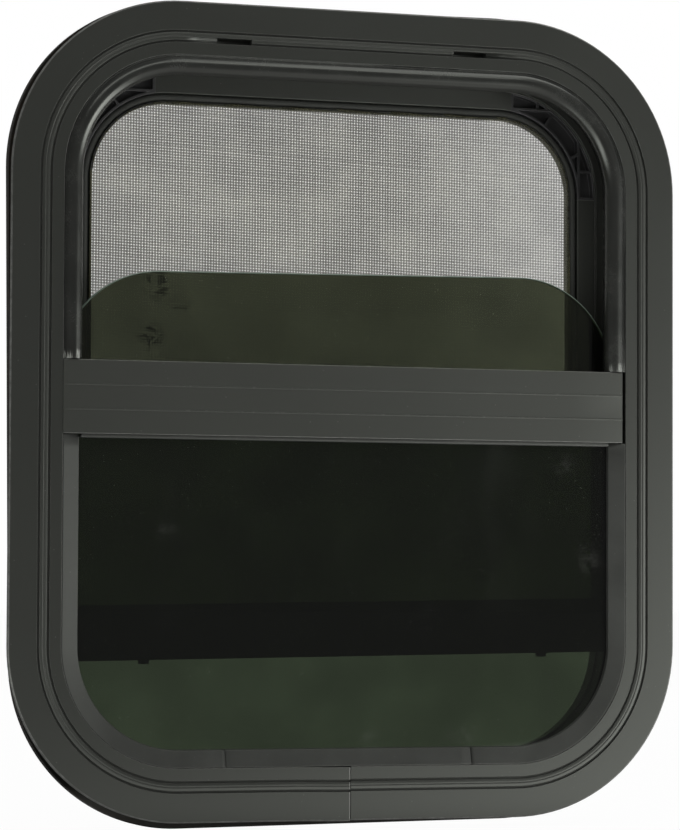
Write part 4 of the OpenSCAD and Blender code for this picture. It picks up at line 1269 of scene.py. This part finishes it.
def thread_coat(name):
    """Coated glass thread: dark, a little dusty, and thin enough to let some light through."""
    made = Finish(name, Roughness=0.5, Specular_IOR_Level=0.3)
    dust = made.noise(60, 4.0, 0.6)
    grain = made.noise(3000, 2.0)
    base = made.blend(dust.over(0.35, 0.75), (0.12, 0.119, 0.068), (0.19, 0.188, 0.105))
    stains = 0
    for at, size in (((-0.0957, 0.0254, 0.2601), 0.009), ((-0.0825, 0.0254, 0.2504), 0.007),
                     ((-0.0981, 0.0254, 0.2348), 0.008)):
        stains = made.spot(at, size * 0.5, size) + stains
    twigs = made.noise(260, 3.0, 0.5, made.place((1, 1, 2.2), (0, 0.7, 0))).over(0.50, 0.58)
    stains = stains * twigs
    made.feed("Base Color", made.blend(stains * 0.8, base, (0.03, 0.027, 0.02)))
    made.feed("Roughness", (grain - 0.5) * 0.3 + 0.5)
    made.feed("Normal", made.bump(grain, 0.02, 0.4))
    thin = made.along("X").over(0.01, 0.14) * 0.10
    made.feed("Alpha", 0.405 - (dust - 0.5) * 0.1 - thin + stains * 0.4)
    return made.material


mesh_coat = thread_coat("coated screen thread")
dress(uprights, mesh_coat, "screen_mesh")
dress(levels, mesh_coat, "screen_mesh", False)

# %% [markdown]
# ## Spline
#
# A ribbed rubber cord, rolled into the groove, holds the cloth. It is a round section whose
# radius goes up and down from one point of its path to the next, which makes the ribs.

# %% Spline
def screen_path(inset, step=0.9):
    """Plan points round the screen's outline at an inset, about `step` mm apart."""
    half, foot, r = SCREEN_W / 2 - inset, SCREEN_FOOT + inset, SCREEN_R - inset
    arc_x, arc_y = SCREEN_W / 2 - SCREEN_R, SCREEN_TOP - SCREEN_R

    def line(start, end):
        return np.linspace(start, end, int(math.dist(start, end) / step))

    angle = np.linspace(0, math.pi / 2, int(r * math.pi / 2 / step))
    arc = np.stack([arc_x + r * np.cos(angle), arc_y + r * np.sin(angle)], -1)
    half_loop = np.concatenate([line((half, foot), (half, arc_y)), arc[1:]])
    over_top = line((arc_x, SCREEN_TOP - inset), (-arc_x, SCREEN_TOP - inset))[1:-1]
    under = line((-half, foot), (half, foot))[1:-1]
    return np.concatenate([half_loop, over_top, half_loop[::-1] * (-1, 1), under])


def spline_cord():
    """A round cord with ribs across it, pressed into the groove."""
    path = screen_path(BAR_W + GROOVE_IN_W / 2)
    ahead = np.roll(path, -1, 0) - np.roll(path, 1, 0)
    ahead /= np.linalg.norm(ahead, axis=1)[:, None]
    normal = np.stack([ahead[:, 1], -ahead[:, 0]], -1)
    angle = np.linspace(0, 2 * math.pi, 14, endpoint=False)
    radius = 1.5 + 0.1 * np.where(np.arange(len(path)) % 2, 1, -1)
    wide = radius * 1.15
    flat = path[None] + normal[None] * (np.cos(angle)[:, None] * wide[None])[..., None]
    z = BAND_Z - 1.85 + np.sin(angle)[:, None] * radius[None]
    return grids_object("screen_spline_dressed", [np.concatenate([flat, z[..., None]], -1)],
                        [np.zeros(14)], True)


dress(spline_cord(), cord_rubber, "screen_spline")

# %% [markdown]
# ## Pieces kept from the model
#
# The corners, bars, latches and channels already have their real shape, so they keep their own
# mesh. Their edges are softened by a weld, a small bevel and weighted normals, and each gets the
# finish of its real material. On the screen's bars and corners the bevels take a paler finish,
# which is edge wear and a painted highlight together.

# %% Carried-over nodes
def finish_node(node, material, bevel=0.2, edges=None):
    """Softens a node's edges and gives it a material, and its edges another where one is given."""
    made = bpy.data.objects[node]
    weld = made.modifiers.new("weld", "WELD")
    weld.merge_threshold = 0.00001
    if bevel:
        edge = made.modifiers.new("soft edges", "BEVEL")
        edge.width, edge.segments, edge.limit_method = bevel * MM, 2, "ANGLE"
        edge.angle_limit = math.radians(35)
        edge.use_clamp_overlap = True
    if edges:
        edge.material = 1
    weighted(made)
    made.data.materials.clear()
    made.data.materials.append(material)
    if edges:
        made.data.materials.append(edges)


# Paler bevels on the screen's bars and corners: edge wear and a painted highlight.
edge_wear_and_highlight_paint = powder_coat("screen edge wear and painted highlight", 0.085, 0.45)
edge_wear_and_highlight_plastic = moulded("corner edge wear and painted highlight", 0.065, 0.45)
kept = {"frame_joint_plate": (bare_metal, 0.2), "rail_pile_strip": (pile, 0), "glazing_tape": (foam, 0.1),
        "sash_rail": (sash_paint, 0.25), "sash_bumpers": (bumper_rubber, 0.3),
        "sash_latches": (latch_plastic, 0.3), "run_channel_left": (channel_flock_lightened, 0),
        "run_channel_right": (channel_flock_lightened, 0)}
for side in ("top", "left", "right", "bottom"):
    kept["screen_" + side + "_bar"] = (screen_paint, 0.22, edge_wear_and_highlight_paint)
for corner in ("top_left", "top_right", "bottom_left", "bottom_right"):
    kept["screen_corner_" + corner] = (corner_plastic, 0.18, edge_wear_and_highlight_plastic)
for node, look in kept.items():
    finish_node(node, *look)
print("kept", len(kept), "nodes")
